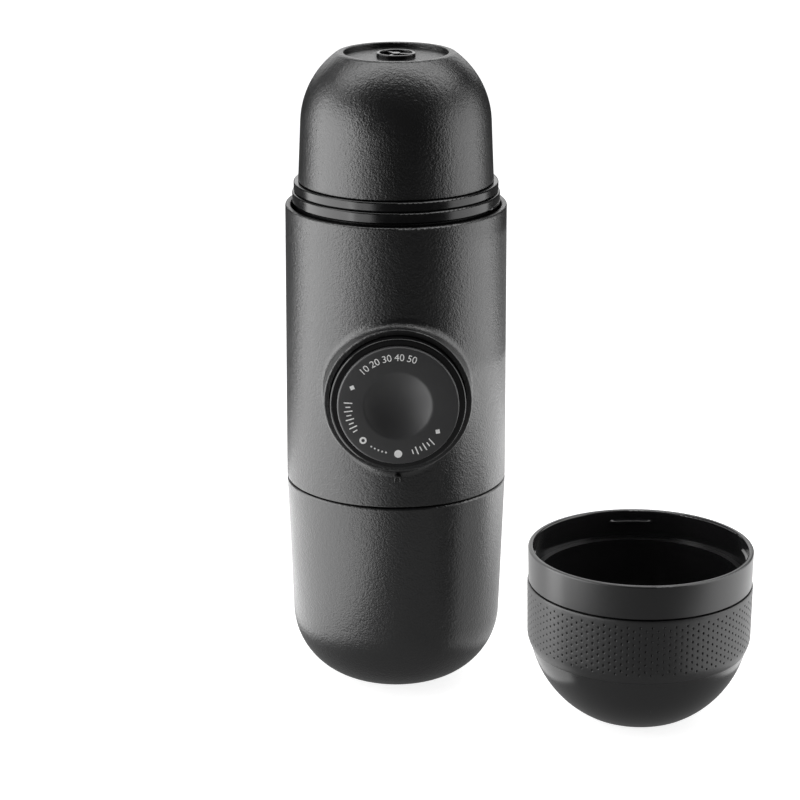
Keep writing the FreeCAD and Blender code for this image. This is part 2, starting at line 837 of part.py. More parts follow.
def brew_chamber():
    """The chamber that holds the basket, its threaded neck, and the glossy ring for the cup."""
    ring_inner = S.ring_radius - S.ring_wall
    foot = shell_high_bore - S.running_gap
    bead_foot = ring_groove - S.ring_bead_length
    collar = ring_bottom + S.ring_collar
    body = turned_body("brew_chamber", [
        (0.0, floor_bottom),
        (S.neck_radius, floor_bottom),
        (S.neck_radius, ring_top - S.ring_web),
        (ring_inner, ring_top - S.ring_web),
        (ring_inner, ring_bottom),
        (foot, ring_bottom),
        (foot, collar),
        (S.ring_radius, collar),
        (S.ring_radius, bead_foot),
        (S.ring_bead, bead_foot + S.ring_slope),
        (S.ring_bead, ring_groove - S.ring_round),
        Arc(S.ring_bead - S.ring_round, ring_groove, S.ring_round, 1),
        (S.ring_radius, ring_groove),
        (S.ring_flange, ring_groove + S.ring_slope),
        (S.ring_flange, ring_top - S.ring_round),
        Arc(S.ring_flange - S.ring_round, ring_top, S.ring_round, 1),
        (S.neck_radius, ring_top),
        (S.neck_radius, neck_top),
        (S.chamber_bore, neck_top),
        (S.chamber_bore, chamber_floor),
        (0.0, chamber_floor),
    ])
    places = screw_places()
    bosses = new_sketch(body, "boss_outline", "XY_Plane", lift=ring_bottom)
    for across, along in places:
        draw_circle(bosses, across, along, S.screw_boss_radius)
    pad(body, bosses, "bosses", ring_top - S.ring_web / 2 - ring_bottom)
    socket = new_sketch(body, "socket_outline", "XY_Plane", lift=socket_bottom)
    draw_circle(socket, 0.0, S.block_place, S.riser_radius + S.socket_wall)
    pad(body, socket, "socket", S.socket_depth + S.riser_entry)
    turn_cut(body, "bore", ring_outline(0.0, S.chamber_bore, chamber_floor, neck_top))
    holes = new_sketch(body, "screw_hole_outline", "XY_Plane", lift=ring_bottom - OVERRUN)
    for across, along in places:
        draw_circle(holes, across, along, S.screw_radius + S.fit_gap)
    cut(body, holes, "screw_holes", S.screw_depth + S.hole_spare + OVERRUN, reverse=True)
    riser = new_sketch(body, "riser_hole_outline", "XY_Plane", lift=socket_bottom - OVERRUN)
    draw_circle(riser, 0.0, S.block_place, S.riser_radius + S.fit_gap)
    cut(body, riser, "riser_hole", riser_top - socket_bottom + S.seat_gap + OVERRUN, reverse=True)
    drill_at(body, "water_hole", 0.0, S.block_place, S.riser_bore)
    middle = new_sketch(body, "screw_seat_outline", "XY_Plane", lift=chamber_floor)
    draw_circle(middle, 0.0, 0.0, S.screw_radius + S.fit_gap)
    cut(body, middle, "screen_screw_hole", S.screen_screw_length + S.seat_gap)


def chassis_screws():
    """Four long screws that tie the base plug to the brew chamber."""
    top = ring_bottom + S.screw_depth
    body = new_body("chassis_screws")
    places = screw_places()
    low = deck_bottom - S.screw_head_height
    heads = new_sketch(body, "head_outline", "XY_Plane", lift=low)
    shanks = new_sketch(body, "shank_outline", "XY_Plane", lift=low)
    for across, along in places:
        draw_circle(heads, across, along, S.screw_head_radius)
        draw_circle(shanks, across, along, S.screw_radius)
    pad(body, heads, "heads", S.screw_head_height)
    pad(body, shanks, "shanks", top - low)


def perforated_disc(name, bottom, middle_hole=0.0):
    """A flat steel screen with rings of holes."""
    body = turned_body(name, ring_outline(middle_hole, S.screen_radius, bottom, bottom + S.screen_thick))
    for number, (circle, count) in enumerate(SCREEN_HOLES, start=1):
        drill_ring(body, "ring_%d" % number, circle, S.hole_radius, count)
    return body


def dispersion_screen():
    """The screen that spreads the water under the basket, and its screw."""
    perforated_disc("dispersion_screen", screen_bottom, S.screw_radius + S.fit_gap)
    low = chamber_floor - S.screen_screw_length
    seat = screen_bottom + S.screen_thick
    top = seat + S.screen_screw_head
    turned_body("dispersion_screw", [
        (0.0, low),
        (S.screw_radius, low),
        (S.screw_radius, seat),
        (S.screw_head_radius, seat),
        (S.screw_head_radius, top),
        (0.0, top),
    ])


def filter_basket():
    """The steel basket for the ground coffee, hung by its flange on the neck."""
    inner = S.basket_radius - S.basket_wall
    top = neck_top + S.basket_flange_thick
    body = turned_body("filter_basket", [
        (0.0, basket_bottom),
        (S.basket_radius, basket_bottom),
        (S.basket_radius, neck_top),
        (S.basket_flange, neck_top),
        (S.basket_flange, top),
        (inner, top),
        (inner, basket_bottom + S.basket_wall),
        (0.0, basket_bottom + S.basket_wall),
    ])
    for number, (circle, count) in enumerate(BASKET_HOLES, start=1):
        drill_ring(body, "ring_%d" % number, circle, S.basket_hole, count)


def head_seal():
    """The soft ring between the basket's flange and the outlet head."""
    inner = S.screen_radius + S.head_seal_gap
    turned_body("head_seal", ring_outline(inner, S.basket_flange - S.seat_gap, seal_bottom, core_bottom))


def outlet_screen():
    """The steel screen over the basket, in the outlet head."""
    perforated_disc("outlet_screen", core_bottom - S.screen_thick)


def outlet_head_core():
    """The threaded inner cap of the head, with the funnel that gathers the coffee."""
    inner = S.neck_radius + S.head_thread_gap
    outer = inner + S.core_wall
    spout = S.spout_radius + S.spout_wall
    core_foot = head_foot + S.core_rise
    spout_top = recess_floor - S.head_wall - S.seat_gap
    turned_body("outlet_head_core", [
        (inner, core_foot),
        (outer, core_foot),
        (outer, core_bottom),
        (outer - S.core_chamfer, core_bottom + S.core_plate),
        (S.funnel_radius + S.core_plate, core_bottom + S.core_plate),
        (spout, funnel_top + S.core_plate),
        (spout, spout_top),
        (S.spout_radius, spout_top),
        (S.spout_radius, funnel_top),
        (S.funnel_radius, core_bottom),
        (inner, core_bottom),
    ])


def outlet_head_cover():
    """The dome, with the recess round the nozzle on its top."""
    body = new_body("outlet_head_cover")
    turn_solid(body, "outside", [
        (0.0, head_foot),
        (S.head_radius, head_foot),
        (S.head_shoulder_radius, head_shoulder_height),
        Arc(S.head_rim_radius, head_top, S.head_arc_radius, 1),
        (S.recess_radius, head_top),
        (S.recess_radius, recess_floor),
        (0.0, recess_floor),
    ])
    round_edges(body, "rim_round", S.head_rim_round, lambda edge: at_height(edge, head_top.value)
                and edge.BoundBox.XMax > S.head_rim_radius.value - S.seat_gap.value)
    round_edges(body, "recess_edge", S.recess_round, lambda edge: at_height(edge, head_top.value)
                and edge.BoundBox.XMax < S.recess_radius.value + S.seat_gap.value)
    inner_arc = S.head_arc_radius - S.head_wall
    turn_cut(body, "inside", [
        (0.0, head_foot - OVERRUN),
        (S.head_radius - S.head_wall, head_foot - OVERRUN),
        (S.head_radius - S.head_wall, head_foot),
        (S.head_shoulder_radius - S.head_wall, head_shoulder_height),
        Arc(S.head_rim_radius - S.head_wall, recess_floor - S.head_wall, inner_arc, 1),
        (0.0, recess_floor - S.head_wall),
    ])
    drill_at(body, "nozzle_hole", 0.0, 0.0, S.nozzle_stem + S.fit_gap)


def outlet_nozzle():
    """The short ring that the coffee leaves by, with a three-legged jet breaker in it."""
    bore = S.nozzle_radius - S.nozzle_wall
    stem_bottom = recess_floor - S.head_wall
    floor = recess_floor + S.nozzle_floor
    top = recess_floor + S.nozzle_height
    body = turned_body("outlet_nozzle", [
        (S.spout_radius, stem_bottom),
        (S.nozzle_stem, stem_bottom),
        (S.nozzle_stem, recess_floor),
        (S.nozzle_radius, recess_floor),
        (S.nozzle_radius, top),
        (bore, top),
        (bore, floor),
        (S.spout_radius, stem_bottom + S.nozzle_cone),
    ])
    round_edges(body, "ring_edge", S.nozzle_round, lambda edge: at_height(edge, top.value))
    legs = new_sketch(body, "leg_outline", "XY_Plane", lift=floor)
    half = S.nozzle_leg / 2
    reach = bore + S.nozzle_wall / 3
    draw_outline(legs, [(0.0, -half), (reach, -half), (reach, half), (0.0, half)])
    leg = pad(body, legs, "leg", S.nozzle_leg_height)
    around(body, leg, legs, NOZZLE_LEGS)
    hub = new_sketch(body, "hub_outline", "XY_Plane", lift=floor)
    draw_circle(hub, 0.0, 0.0, S.nozzle_hub)
    pad(body, hub, "hub", S.nozzle_hub_height)


def knob_skirt():
    """The glossy knob body: skirt, front wall, the seat of its face and the rod's boss."""
    rod_bore = S.rod_radius + S.fit_gap
    inner = S.knob_radius - S.knob_wall
    face_bore = S.knob_face_radius + S.running_gap
    face_seat = S.knob_reach - S.knob_face_seat
    boss_end = knob_inside - S.rod_boss_length
    body = turned_body("knob_skirt", [
        (inner, S.knob_skirt_back),
        (S.knob_radius, S.knob_skirt_back),
        (S.knob_radius, S.knob_reach),
        (face_bore, S.knob_reach),
        (face_bore, face_seat),
        (0.0, face_seat),
        (0.0, knob_inside),
        (rod_bore, knob_inside),
        (rod_bore, boss_end),
        (S.rod_boss_radius, boss_end),
        (S.rod_boss_radius, knob_inside),
        (inner, knob_inside),
    ])
    round_edges(body, "front_edge", S.edge_round, lambda edge: at_height(edge, S.knob_reach.value)
                and edge.BoundBox.XMax > S.knob_radius.value - S.seat_gap.value)
    face_knob(body)


def knob_face():
    """The matte face of the knob, with the hollow for the thumb."""
    back = S.knob_reach - S.knob_face_seat
    body = turned_body("knob_face", ring_outline(0.0, S.knob_face_radius, back, S.knob_face_reach))
    ball = (S.dimple_radius * S.dimple_radius / S.dimple_depth + S.dimple_depth) / 2
    turn_cut(body, "dimple", [
        (0.0, S.knob_face_reach - S.dimple_depth),
        Arc(S.dimple_radius, S.knob_face_reach, ball, 1),
        (0.0, S.knob_face_reach),
    ])
    round_edges(body, "rim_round", S.edge_round, lambda edge: at_height(edge, S.knob_face_reach.value)
                and edge.BoundBox.XMax > S.knob_face_radius.value - S.seat_gap.value)
    face_knob(body)


def piston():
    """The rod, the piston head that it carries, and the two soft rings in its grooves."""
    groove = S.seal_section
    head_radius = S.cylinder_bore - S.piston_gap
    groove_floor = head_radius - groove
    socket = S.rod_radius + S.fit_gap
    rod_end = piston_front - S.rod_seat
    back = -S.piston_rest
    low_groove = back + S.piston_land
    high_groove = low_groove + groove + S.piston_mid_land
    rod = turned_body("piston_rod", ring_outline(0.0, S.rod_radius, rod_end, knob_inside - S.seat_gap))
    head = turned_body("piston_head", [
        (0.0, back),
        (head_radius, back),
        (head_radius, low_groove),
        (groove_floor, low_groove),
        (groove_floor, low_groove + groove),
        (head_radius, low_groove + groove),
        (head_radius, high_groove),
        (groove_floor, high_groove),
        (groove_floor, high_groove + groove),
        (head_radius, high_groove + groove),
        (head_radius, piston_front),
        (socket, piston_front),
        (socket, rod_end),
        (0.0, rod_end),
    ])
    seals = new_body("piston_seals")
    inner = groove_floor + S.seal_slack
    outer = S.cylinder_bore - S.running_gap
    for name, low in (("rear", low_groove), ("front", high_groove)):
        turn_solid(seals, name, ring_outline(inner, outer, low + S.seal_slack, low + groove - S.seal_slack))
    for body in (rod, head, seals):
        face_knob(body)


def cup_body():
    """The cup, with a rounded foot and the step that stops on the maker's ring."""
    band_inner = S.cup_band_radius - S.cup_band_thick
    inner = S.cup_radius - S.cup_wall
    hip_inner = S.cup_hip_radius - S.cup_hip_wall
    heel_inner = S.cup_heel_radius - S.cup_wall
    ledge = S.cup_height - S.cup_ledge_depth
    ledge_inner = inner - S.cup_ledge_width
    groove_top = cup_band_top + S.cup_groove
    body = new_body("cup_body")
    turn_solid(body, "outside", [
        (0.0, 0.0),
        (S.cup_foot_radius, 0.0),
        Arc(S.cup_heel_radius, S.cup_heel_height, S.cup_heel_round, 1),
        Arc(S.cup_hip_radius, cup_band_bottom, S.cup_arc_radius, 1),
        (band_inner, cup_band_bottom),
        (band_inner, groove_top),
        (S.cup_radius - S.cup_rim_taper, groove_top),
        (S.cup_radius, S.cup_height),
        (0.0, S.cup_height),
    ])
    turn_cut(body, "inside", [
        (0.0, S.cup_floor),
        (S.cup_foot_radius, S.cup_floor),
        Arc(heel_inner, S.cup_heel_height + S.cup_floor_rise, S.cup_heel_round, 1),
        Arc(hip_inner, cup_band_bottom + S.cup_inside_lift, S.cup_arc_radius, 1),
        (ledge_inner, ledge - S.cup_ledge_slope),
        (ledge_inner, ledge),
        (inner, ledge),
        (inner, S.cup_height),
        (0.0, S.cup_height),
    ])
    round_edges(body, "rim_round", S.edge_round, lambda edge: at_height(edge, S.cup_height.value))
    move_body(body, S.cup_x, S.cup_y)


def cup_grip_band():
    """The sleeve that gives the cup its grip, thinner towards its lower edge."""
    inner = S.cup_band_radius - S.cup_band_thick + S.fit_gap
    body = turned_body("cup_grip_band", [
        (inner, cup_band_bottom),
        (S.cup_band_foot, cup_band_bottom),
        (S.cup_band_hip, cup_band_bottom + S.cup_band_chamfer),
        (S.cup_band_radius, cup_band_top),
        (inner, cup_band_top),
    ])
    move_body(body, S.cup_x, S.cup_y)


def build():
    """Make every sub-part."""
    water_tank()
    tank_seal()
    base_plug()
    air_vent_valve()
    pickup_tube()
    pickup_strainer()
    body_shell()
    pump_housing()
    valve_block()
    valve_seat("inlet_valve_seat", deck_height, S.block_place)
    valve_ball("inlet_valve_ball", inlet_ball_height, S.block_place)
    valve_seat("outlet_valve_seat", outlet_seat_height, S.block_place)
    valve_ball("outlet_valve_ball", outlet_ball_height, S.block_place)
    outlet_valve_spring()
    riser_tube()
    riser_seals()
    brew_chamber()
    chassis_screws()
    dispersion_screen()
    filter_basket()
    head_seal()
    outlet_screen()
    outlet_head_core()
    outlet_head_cover()
    outlet_nozzle()
    knob_skirt()
    knob_face()
    piston()
    return_spring()
    cup_body()
    cup_grip_band()


def sub_parts():
    """The document's finished sub-parts, by label."""
    kinds = ("PartDesign::Body", "Part::Sphere")
    return [thing for thing in DOC.Objects if thing.TypeId in kinds]


def check():
    """Stop when any object failed or any sub-part has no sound shape."""
    for thing in DOC.Objects:
        if "Invalid" in thing.State or "Error" in thing.State:
            raise RuntimeError("%s failed: %s" % (thing.Label, thing.State))
    for part in sub_parts():
        if part.Shape.isNull() or not part.Shape.isValid() or not part.Shape.Solids:
            raise RuntimeError("%s has no sound shape" % part.Label)


def export():
    """Write each sub-part to a file of its own name."""
    os.makedirs("parts", exist_ok=True)
    for part in sub_parts():
        part.Shape.exportStep("parts/%s.step" % part.Label)
        print(part.Label, len(part.Shape.Solids), round(part.Shape.Volume, 2))


build()
DOC.recompute()
check()
export()
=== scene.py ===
"""Looks of a handheld manual espresso maker with its cup beside it.

Metres, +Z up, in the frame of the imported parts. The knob faces -Y and the cup stands towards +X.
"""

import json
import logging
import math
from dataclasses import dataclass
from enum import Enum
from typing import Callable, Optional, Sequence, Union

import bmesh
import bpy
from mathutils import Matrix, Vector


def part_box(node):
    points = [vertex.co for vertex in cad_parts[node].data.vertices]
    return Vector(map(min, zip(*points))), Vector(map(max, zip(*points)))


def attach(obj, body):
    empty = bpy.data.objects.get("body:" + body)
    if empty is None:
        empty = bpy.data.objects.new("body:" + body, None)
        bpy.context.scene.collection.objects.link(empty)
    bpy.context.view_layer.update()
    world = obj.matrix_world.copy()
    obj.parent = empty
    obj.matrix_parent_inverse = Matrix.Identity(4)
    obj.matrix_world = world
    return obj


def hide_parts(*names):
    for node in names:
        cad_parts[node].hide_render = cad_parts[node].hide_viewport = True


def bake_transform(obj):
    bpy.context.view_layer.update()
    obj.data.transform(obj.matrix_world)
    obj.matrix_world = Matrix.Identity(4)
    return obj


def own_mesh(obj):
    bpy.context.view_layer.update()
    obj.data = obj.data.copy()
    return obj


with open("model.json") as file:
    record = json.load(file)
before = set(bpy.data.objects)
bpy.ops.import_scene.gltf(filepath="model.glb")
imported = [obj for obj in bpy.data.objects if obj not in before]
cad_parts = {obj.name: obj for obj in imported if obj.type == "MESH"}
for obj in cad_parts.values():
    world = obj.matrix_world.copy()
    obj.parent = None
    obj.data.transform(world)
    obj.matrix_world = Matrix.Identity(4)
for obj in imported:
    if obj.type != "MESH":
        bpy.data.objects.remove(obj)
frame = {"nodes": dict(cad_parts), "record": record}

LOG = logging.getLogger("espresso_maker")
MM = 0.001
ROUND_STEPS = 5
TURN_STEPS = 160
MERGE_DISTANCE = 1e-7
WELD_DISTANCE = MERGE_DISTANCE * 10
SMOOTH_ANGLE = math.radians(32)
NOISE_ROUGHNESS = 0.55
MIX_FACTOR, MIX_FIRST, MIX_SECOND, MIX_RESULT = 0, 6, 7, 2
RIDGE_ROOT = 0.3
RIDGE_CREST_PARTS = 5
LUG_SINK = 0.2 * MM
LUG_ROOT_FLARE = 1.3
LUG_CREST_SHARE = 0.6
LUG_STEPS = 20
LUG_END = 0.2
LUG_END_FALL = 0.85
LUG_SMOOTH_ANGLE = math.radians(50)

Point = tuple[float, float]
Object = bpy.types.Object
Place = tuple[float, float, float]
Colour = tuple[float, float, float]
Range = tuple[float, float]


class Body(Enum):
    """The moving bodies that pieces ride on."""

    TANK = "water_tank"
    MAIN = "main"
    PISTON = "piston"
    KNOB = "knob"
    HEAD = "head"
    CUP = "cup"


class Slot(Enum):
    """The record's material slots."""

    SHELL = "shell_plastic"
    GLOSS = "gloss_black"
    KNOB = "knob_plastic"
    CUP = "cup_plastic"
    GRIP = "grip_rubber"
    INNER = "inner_plastic"
    SEAL = "seal_rubber"
    STEEL = "steel"


class Value:
    """A number socket that can stand in a Python expression."""

    def __init__(self, shader: "Shader", socket: bpy.types.NodeSocket) -> None:
        """Keep the socket and the shader that owns it."""
        self.shader = shader
        self.socket = socket

    def _maths(self, operation: str, first: object, second: object) -> "Value":
        """Add one Math node and give its result."""
        node = self.shader.node("ShaderNodeMath", {"operation": operation}, {0: first, 1: second})
        return Value(self.shader, node.outputs[0])

    def __add__(self, other: object) -> "Value":
        """This plus another."""
        return self._maths("ADD", self, other)

    def __sub__(self, other: object) -> "Value":
        """This less another."""
        return self._maths("SUBTRACT", self, other)

    def __rsub__(self, other: object) -> "Value":
        """Another less this."""
        return self._maths("SUBTRACT", other, self)

    def __mul__(self, other: object) -> "Value":
        """This times another."""
        return self._maths("MULTIPLY", self, other)


class Shader:
    """The node tree of one finish, or of the world."""

    def __init__(self, owner: Union[bpy.types.Material, bpy.types.World],
                 output: str = "Material") -> None:
        """Start an empty tree with its output and coordinates."""
        self.owner = owner
        owner.use_nodes = True
        self.tree = owner.node_tree
        self.tree.nodes.clear()
        self.output = self.node("ShaderNodeOutput" + output, {}, {})
        self.place = self.node("ShaderNodeTexCoord", {}, {}).outputs["Object"]

    def node(self, kind: str, settings: dict, inputs: dict) -> bpy.types.Node:
        """Add a node.

        Args:
            kind: the node's type.
            settings: attributes that are set first.
            inputs: numbers, colours, sockets or values by the socket's name or number.

        Returns:
            The new node.
        """
        made = self.tree.nodes.new(kind)
        for name, setting in settings.items():
            setattr(made, name, setting)
        for name, given in inputs.items():
            socket = made.inputs[name]
            source = given.socket if isinstance(given, Value) else given
            if isinstance(source, bpy.types.NodeSocket):
                self.tree.links.new(source, socket)
            else:
                socket.default_value = source
        return made

    def noise(self, size: float, detail: float = 2.0,
              stretch: Sequence[float] = (1.0, 1.0, 1.0)) -> Value:
        """A noise whose features are about as large as the given size in metres.

        Args:
            size: the feature size.
            detail: how much finer noise is added.
            stretch: how much longer the features are along X, Y and Z.

        Returns:
            The noise, from 0 to 1.
        """
        scale = [1.0 / length for length in stretch]
        mapping = self.node("ShaderNodeMapping", {}, {"Vector": self.place, "Scale": scale})
        made = self.node("ShaderNodeTexNoise", {}, {
            "Vector": mapping.outputs[0], "Scale": 1.0 / size, "Detail": detail,
            "Roughness": NOISE_ROUGHNESS,
        })
        return Value(self, made.outputs[0])

    def ramp(self, source: Value, low: float, high: float) -> Value:
        """Spread the part of a value between low and high over 0 to 1."""
        made = self.node("ShaderNodeMapRange", {"clamp": True}, {
            "Value": source, "From Min": low, "From Max": high,
        })
        return Value(self, made.outputs[0])

    def coordinate(self, axis: int) -> Value:
        """One coordinate of the place on the piece, in metres."""
        parts = self.node("ShaderNodeSeparateXYZ", {}, {"Vector": self.place})
        return Value(self, parts.outputs[axis])

    def seen_directly(self, in_reflections: Union[Value, float]) -> Value:
        """1 where the lens looks, and less in reflections and through clear things."""
        path = self.node("ShaderNodeLightPath", {}, {})
        mirrored = Value(self, path.outputs["Is Glossy Ray"])
        mirrored = mirrored + Value(self, path.outputs["Is Transmission Ray"])
        return Value(self, path.outputs["Is Camera Ray"]) + mirrored * in_reflections

    def vector(self, operation: str, inputs: dict) -> bpy.types.Node:
        """Add one Vector Math node."""
        return self.node("ShaderNodeVectorMath", {"operation": operation}, inputs)

    def distance(self) -> Value:
        """How far the place is from the origin, in metres."""
        return Value(self, self.vector("LENGTH", {0: self.place}).outputs["Value"])

    def blend(self, factor: Value, first: Colour, second: Colour) -> bpy.types.NodeSocket:
        """Mix two colours by a factor."""
        made = self.node("ShaderNodeMix", {"data_type": "RGBA"}, {
            MIX_FACTOR: factor, MIX_FIRST: (*first, 1.0), MIX_SECOND: (*second, 1.0),
        })
        return made.outputs[MIX_RESULT]

    def bump(self, height: Value, depth: float, strength: float) -> bpy.types.NodeSocket:
        """Turn a height into a normal; depth is in metres."""
        made = self.node("ShaderNodeBump", {}, {
            "Height": height, "Distance": depth, "Strength": strength,
        })
        return made.outputs[0]

    def surface(self, inputs: dict, kind: str = "ShaderNodeBsdfPrincipled") -> bpy.types.Material:
        """Finish the tree with its surface shader and give its owner."""
        made = self.node(kind, {}, inputs)
        self.tree.links.new(made.outputs[0], self.output.inputs[0])
        return self.owner


def shade(colour: Colour, factor: float) -> Colour:
    """A colour made lighter or darker by a factor."""
    return (colour[0] * factor, colour[1] * factor, colour[2] * factor)


@dataclass(frozen=True)
class MouldedPlastic:
    """Spark-eroded mould grain on a plastic or rubber skin.

    The grain is a fine noise in the surface, and larger, weaker patches vary its gloss.
    """

    colour: Colour
    roughness: float
    grain: float = 0.5 * MM
    grain_depth: float = 0.02 * MM
    grain_strength: float = 0.6
    coarse_factor: float = 2.6
    fine_share: float = 0.65
    patch: float = 14.0 * MM
    patch_range: Range = (0.3, 0.7)
    patch_share: float = 0.6
    patch_roughness: float = 0.05
    grain_roughness: float = 0.08
    variation: float = 0.12
    specular: float = 0.7

    def gloss_change(self, shader: Shader) -> Union[Value, float]:
        """How much rougher the skin is from place to place."""
        return 0.0

    def make(self, name: str) -> bpy.types.Material:
        """Build the material."""
        shader = Shader(bpy.data.materials.new(name))
        fine = shader.noise(self.grain)
        coarse = shader.noise(self.grain * self.coarse_factor, detail=1.0)
        patches = shader.noise(self.patch, detail=3.0)
        grain = fine * self.fine_share + coarse * (1.0 - self.fine_share)
        spread = shader.ramp(patches, *self.patch_range)
        tint = spread * self.patch_share + grain * (1.0 - self.patch_share)
        low = shade(self.colour, 1.0 - self.variation)
        high = shade(self.colour, 1.0 + self.variation)
        uneven = (spread - 0.5) * self.patch_roughness + (grain - 0.5) * self.grain_roughness
        return shader.surface({
            "Base Color": shader.blend(tint, low, high),
            "Roughness": uneven + self.roughness + self.gloss_change(shader),
            "Specular IOR Level": self.specular,
            "Normal": shader.bump(grain, self.grain_depth, self.grain_strength),
        })


@dataclass(frozen=True)
class CupPlastic(MouldedPlastic):
    """The cup's plastic: satin at the rim, shinier on the dome and glossy inside."""

    axis: Point = (0.0, 0.0)
    band_foot: float = 0.0
    dome_polish: float = 0.10
    inside_polish: float = 0.16
    wall_blend: float = 1.0 * MM
    band_blend: float = 0.5 * MM

    def gloss_change(self, shader: Shader) -> Value:
        """Smoother below the grip band, and smoothest where the wall faces the cup's own axis."""
        normal = shader.node("ShaderNodeNewGeometry", {}, {}).outputs["Normal"]
        middle = shader.vector("SUBTRACT", {0: (*self.axis, 0.0), 1: shader.place})
        flat = shader.vector("MULTIPLY", {0: middle.outputs[0], 1: (1.0, 1.0, 0.0)})
        inward = shader.vector("DOT_PRODUCT", {0: flat.outputs[0], 1: normal})
        inside = shader.ramp(Value(shader, inward.outputs["Value"]), 0.0, self.wall_blend)
        dome = shader.ramp(self.band_foot - shader.coordinate(2), 0.0, self.band_blend)
        return inside * -self.inside_polish - dome * self.dome_polish


@dataclass(frozen=True)
class PolishedPlastic:
    """Glossy moulded plastic with the slow waves and faint handling haze of a real moulding."""

    colour: Colour
    roughness: float
    wave: float = 9.0 * MM
    wave_depth: float = 0.02 * MM
    wave_strength: float = 0.3
    haze: float = 1.8 * MM
    haze_range: Range = (0.45, 0.75)
    haze_shade: float = 1.35
    haze_roughness: float = 0.06

    def make(self, name: str) -> bpy.types.Material:
        """Build the material."""
        shader = Shader(bpy.data.materials.new(name))
        wave = shader.noise(self.wave, detail=1.0)
        haze = shader.ramp(shader.noise(self.haze, detail=4.0), *self.haze_range)
        return shader.surface({
            "Base Color": shader.blend(haze, self.colour, shade(self.colour, self.haze_shade)),
            "Roughness": haze * self.haze_roughness + self.roughness,
            "Normal": shader.bump(wave, self.wave_depth, self.wave_strength),
        })


@dataclass(frozen=True)
class BrushedSteel:
    """Stainless steel with fine lines along one axis."""

    colour: Colour
    roughness: float
    line: float = 0.12 * MM
    line_depth: float = 0.01 * MM
    line_strength: float = 0.25
    line_roughness: float = 0.18
    stretch: Place = (1.0, 1.0, 30.0)
    stain: float = 5.0 * MM
    stain_range: Range = (0.35, 0.7)
    stain_shade: float = 0.86
    stain_roughness: float = 0.05

    def make(self, name: str) -> bpy.types.Material:
        """Build the material."""
        shader = Shader(bpy.data.materials.new(name))
        lines = shader.noise(self.line, detail=2.0, stretch=self.stretch)
        stain = shader.ramp(shader.noise(self.stain, detail=3.0), *self.stain_range)
        uneven = (lines - 0.5) * self.line_roughness + stain * self.stain_roughness
        return shader.surface({
            "Base Color": shader.blend(stain, self.colour, shade(self.colour, self.stain_shade)),
            "Metallic": 1.0,
            "Roughness": uneven + self.roughness,
            "Normal": shader.bump(lines, self.line_depth, self.line_strength),
        })


@dataclass(frozen=True)
class PrintedInk:
    """Opaque pad-printed ink, slightly mottled."""

    colour: Colour
    roughness: float = 0.45
    mottle: float = 0.25 * MM
    mottle_range: Range = (0.35, 0.65)
    mottle_shade: float = 0.86
    mottle_roughness: float = 0.1

    def make(self, name: str) -> bpy.types.Material:
        """Build the material."""
        shader = Shader(bpy.data.materials.new(name))
        mottle = shader.ramp(shader.noise(self.mottle, detail=3.0), *self.mottle_range)
        return shader.surface({
            "Base Color": shader.blend(mottle, shade(self.colour, self.mottle_shade), self.colour),
            "Roughness": mottle * self.mottle_roughness + self.roughness,
        })


FINISHES: dict[Slot, Union[MouldedPlastic, PolishedPlastic, BrushedSteel]] = {
    Slot.SHELL: MouldedPlastic((0.0045, 0.0046, 0.0049), 0.31, grain=0.5 * MM,
                               grain_depth=0.18 * MM, grain_strength=1.0, specular=0.8),
    Slot.GLOSS: PolishedPlastic((0.004, 0.004, 0.0043), 0.20),
    Slot.KNOB: MouldedPlastic((0.030, 0.030, 0.031), 0.46, grain=0.3 * MM, grain_depth=0.008 * MM),
    Slot.GRIP: MouldedPlastic((0.012, 0.012, 0.0125), 0.44, grain=0.25 * MM, grain_depth=0.01 * MM),
    Slot.INNER: MouldedPlastic((0.060, 0.060, 0.063), 0.42, grain=0.3 * MM, grain_depth=0.008 * MM),
    Slot.SEAL: MouldedPlastic((0.20, 0.20, 0.21), 0.60, grain=0.3 * MM, grain_depth=0.01 * MM),
    Slot.STEEL: BrushedSteel((0.60, 0.60, 0.61), 0.26),
}
INK = PrintedInk((0.98, 0.98, 0.97))
INK_NAME = "white_ink"


@dataclass(frozen=True)
class Corner:
    """A corner of a turned outline, with the radius that rounds it."""

    radius: float
    height: float
    rounding: float = 0.0


def arc_points(start: Point, end: Point, bend: float, count: int) -> list[Point]:
    """Points along the short arc between two points.

    Args:
        start: first point, as radius and height.
        end: last point.
        bend: the arc's radius; positive puts its centre on the left of the way from start to end.
        count: how many pieces the arc has.

    Returns:
        The points after start, up to end.
    """
    first, last = Vector(start), Vector(end)
    run = last - first
    side = 1.0 if bend > 0 else -1.0
    left = Vector((-run.y, run.x)).normalized() * side
    centre = (first + last) / 2 + left * math.sqrt(max(bend * bend - run.length_squared / 4, 0.0))
    begin = math.atan2(first.y - centre.y, first.x - centre.x)
    turn = math.atan2(last.y - centre.y, last.x - centre.x) - begin
    turn = (turn + math.pi) % (2 * math.pi) - math.pi
    angles = [begin + turn * k / count for k in range(1, count + 1)]
    size = abs(bend)
    return [(centre.x + size * math.cos(a), centre.y + size * math.sin(a)) for a in angles]


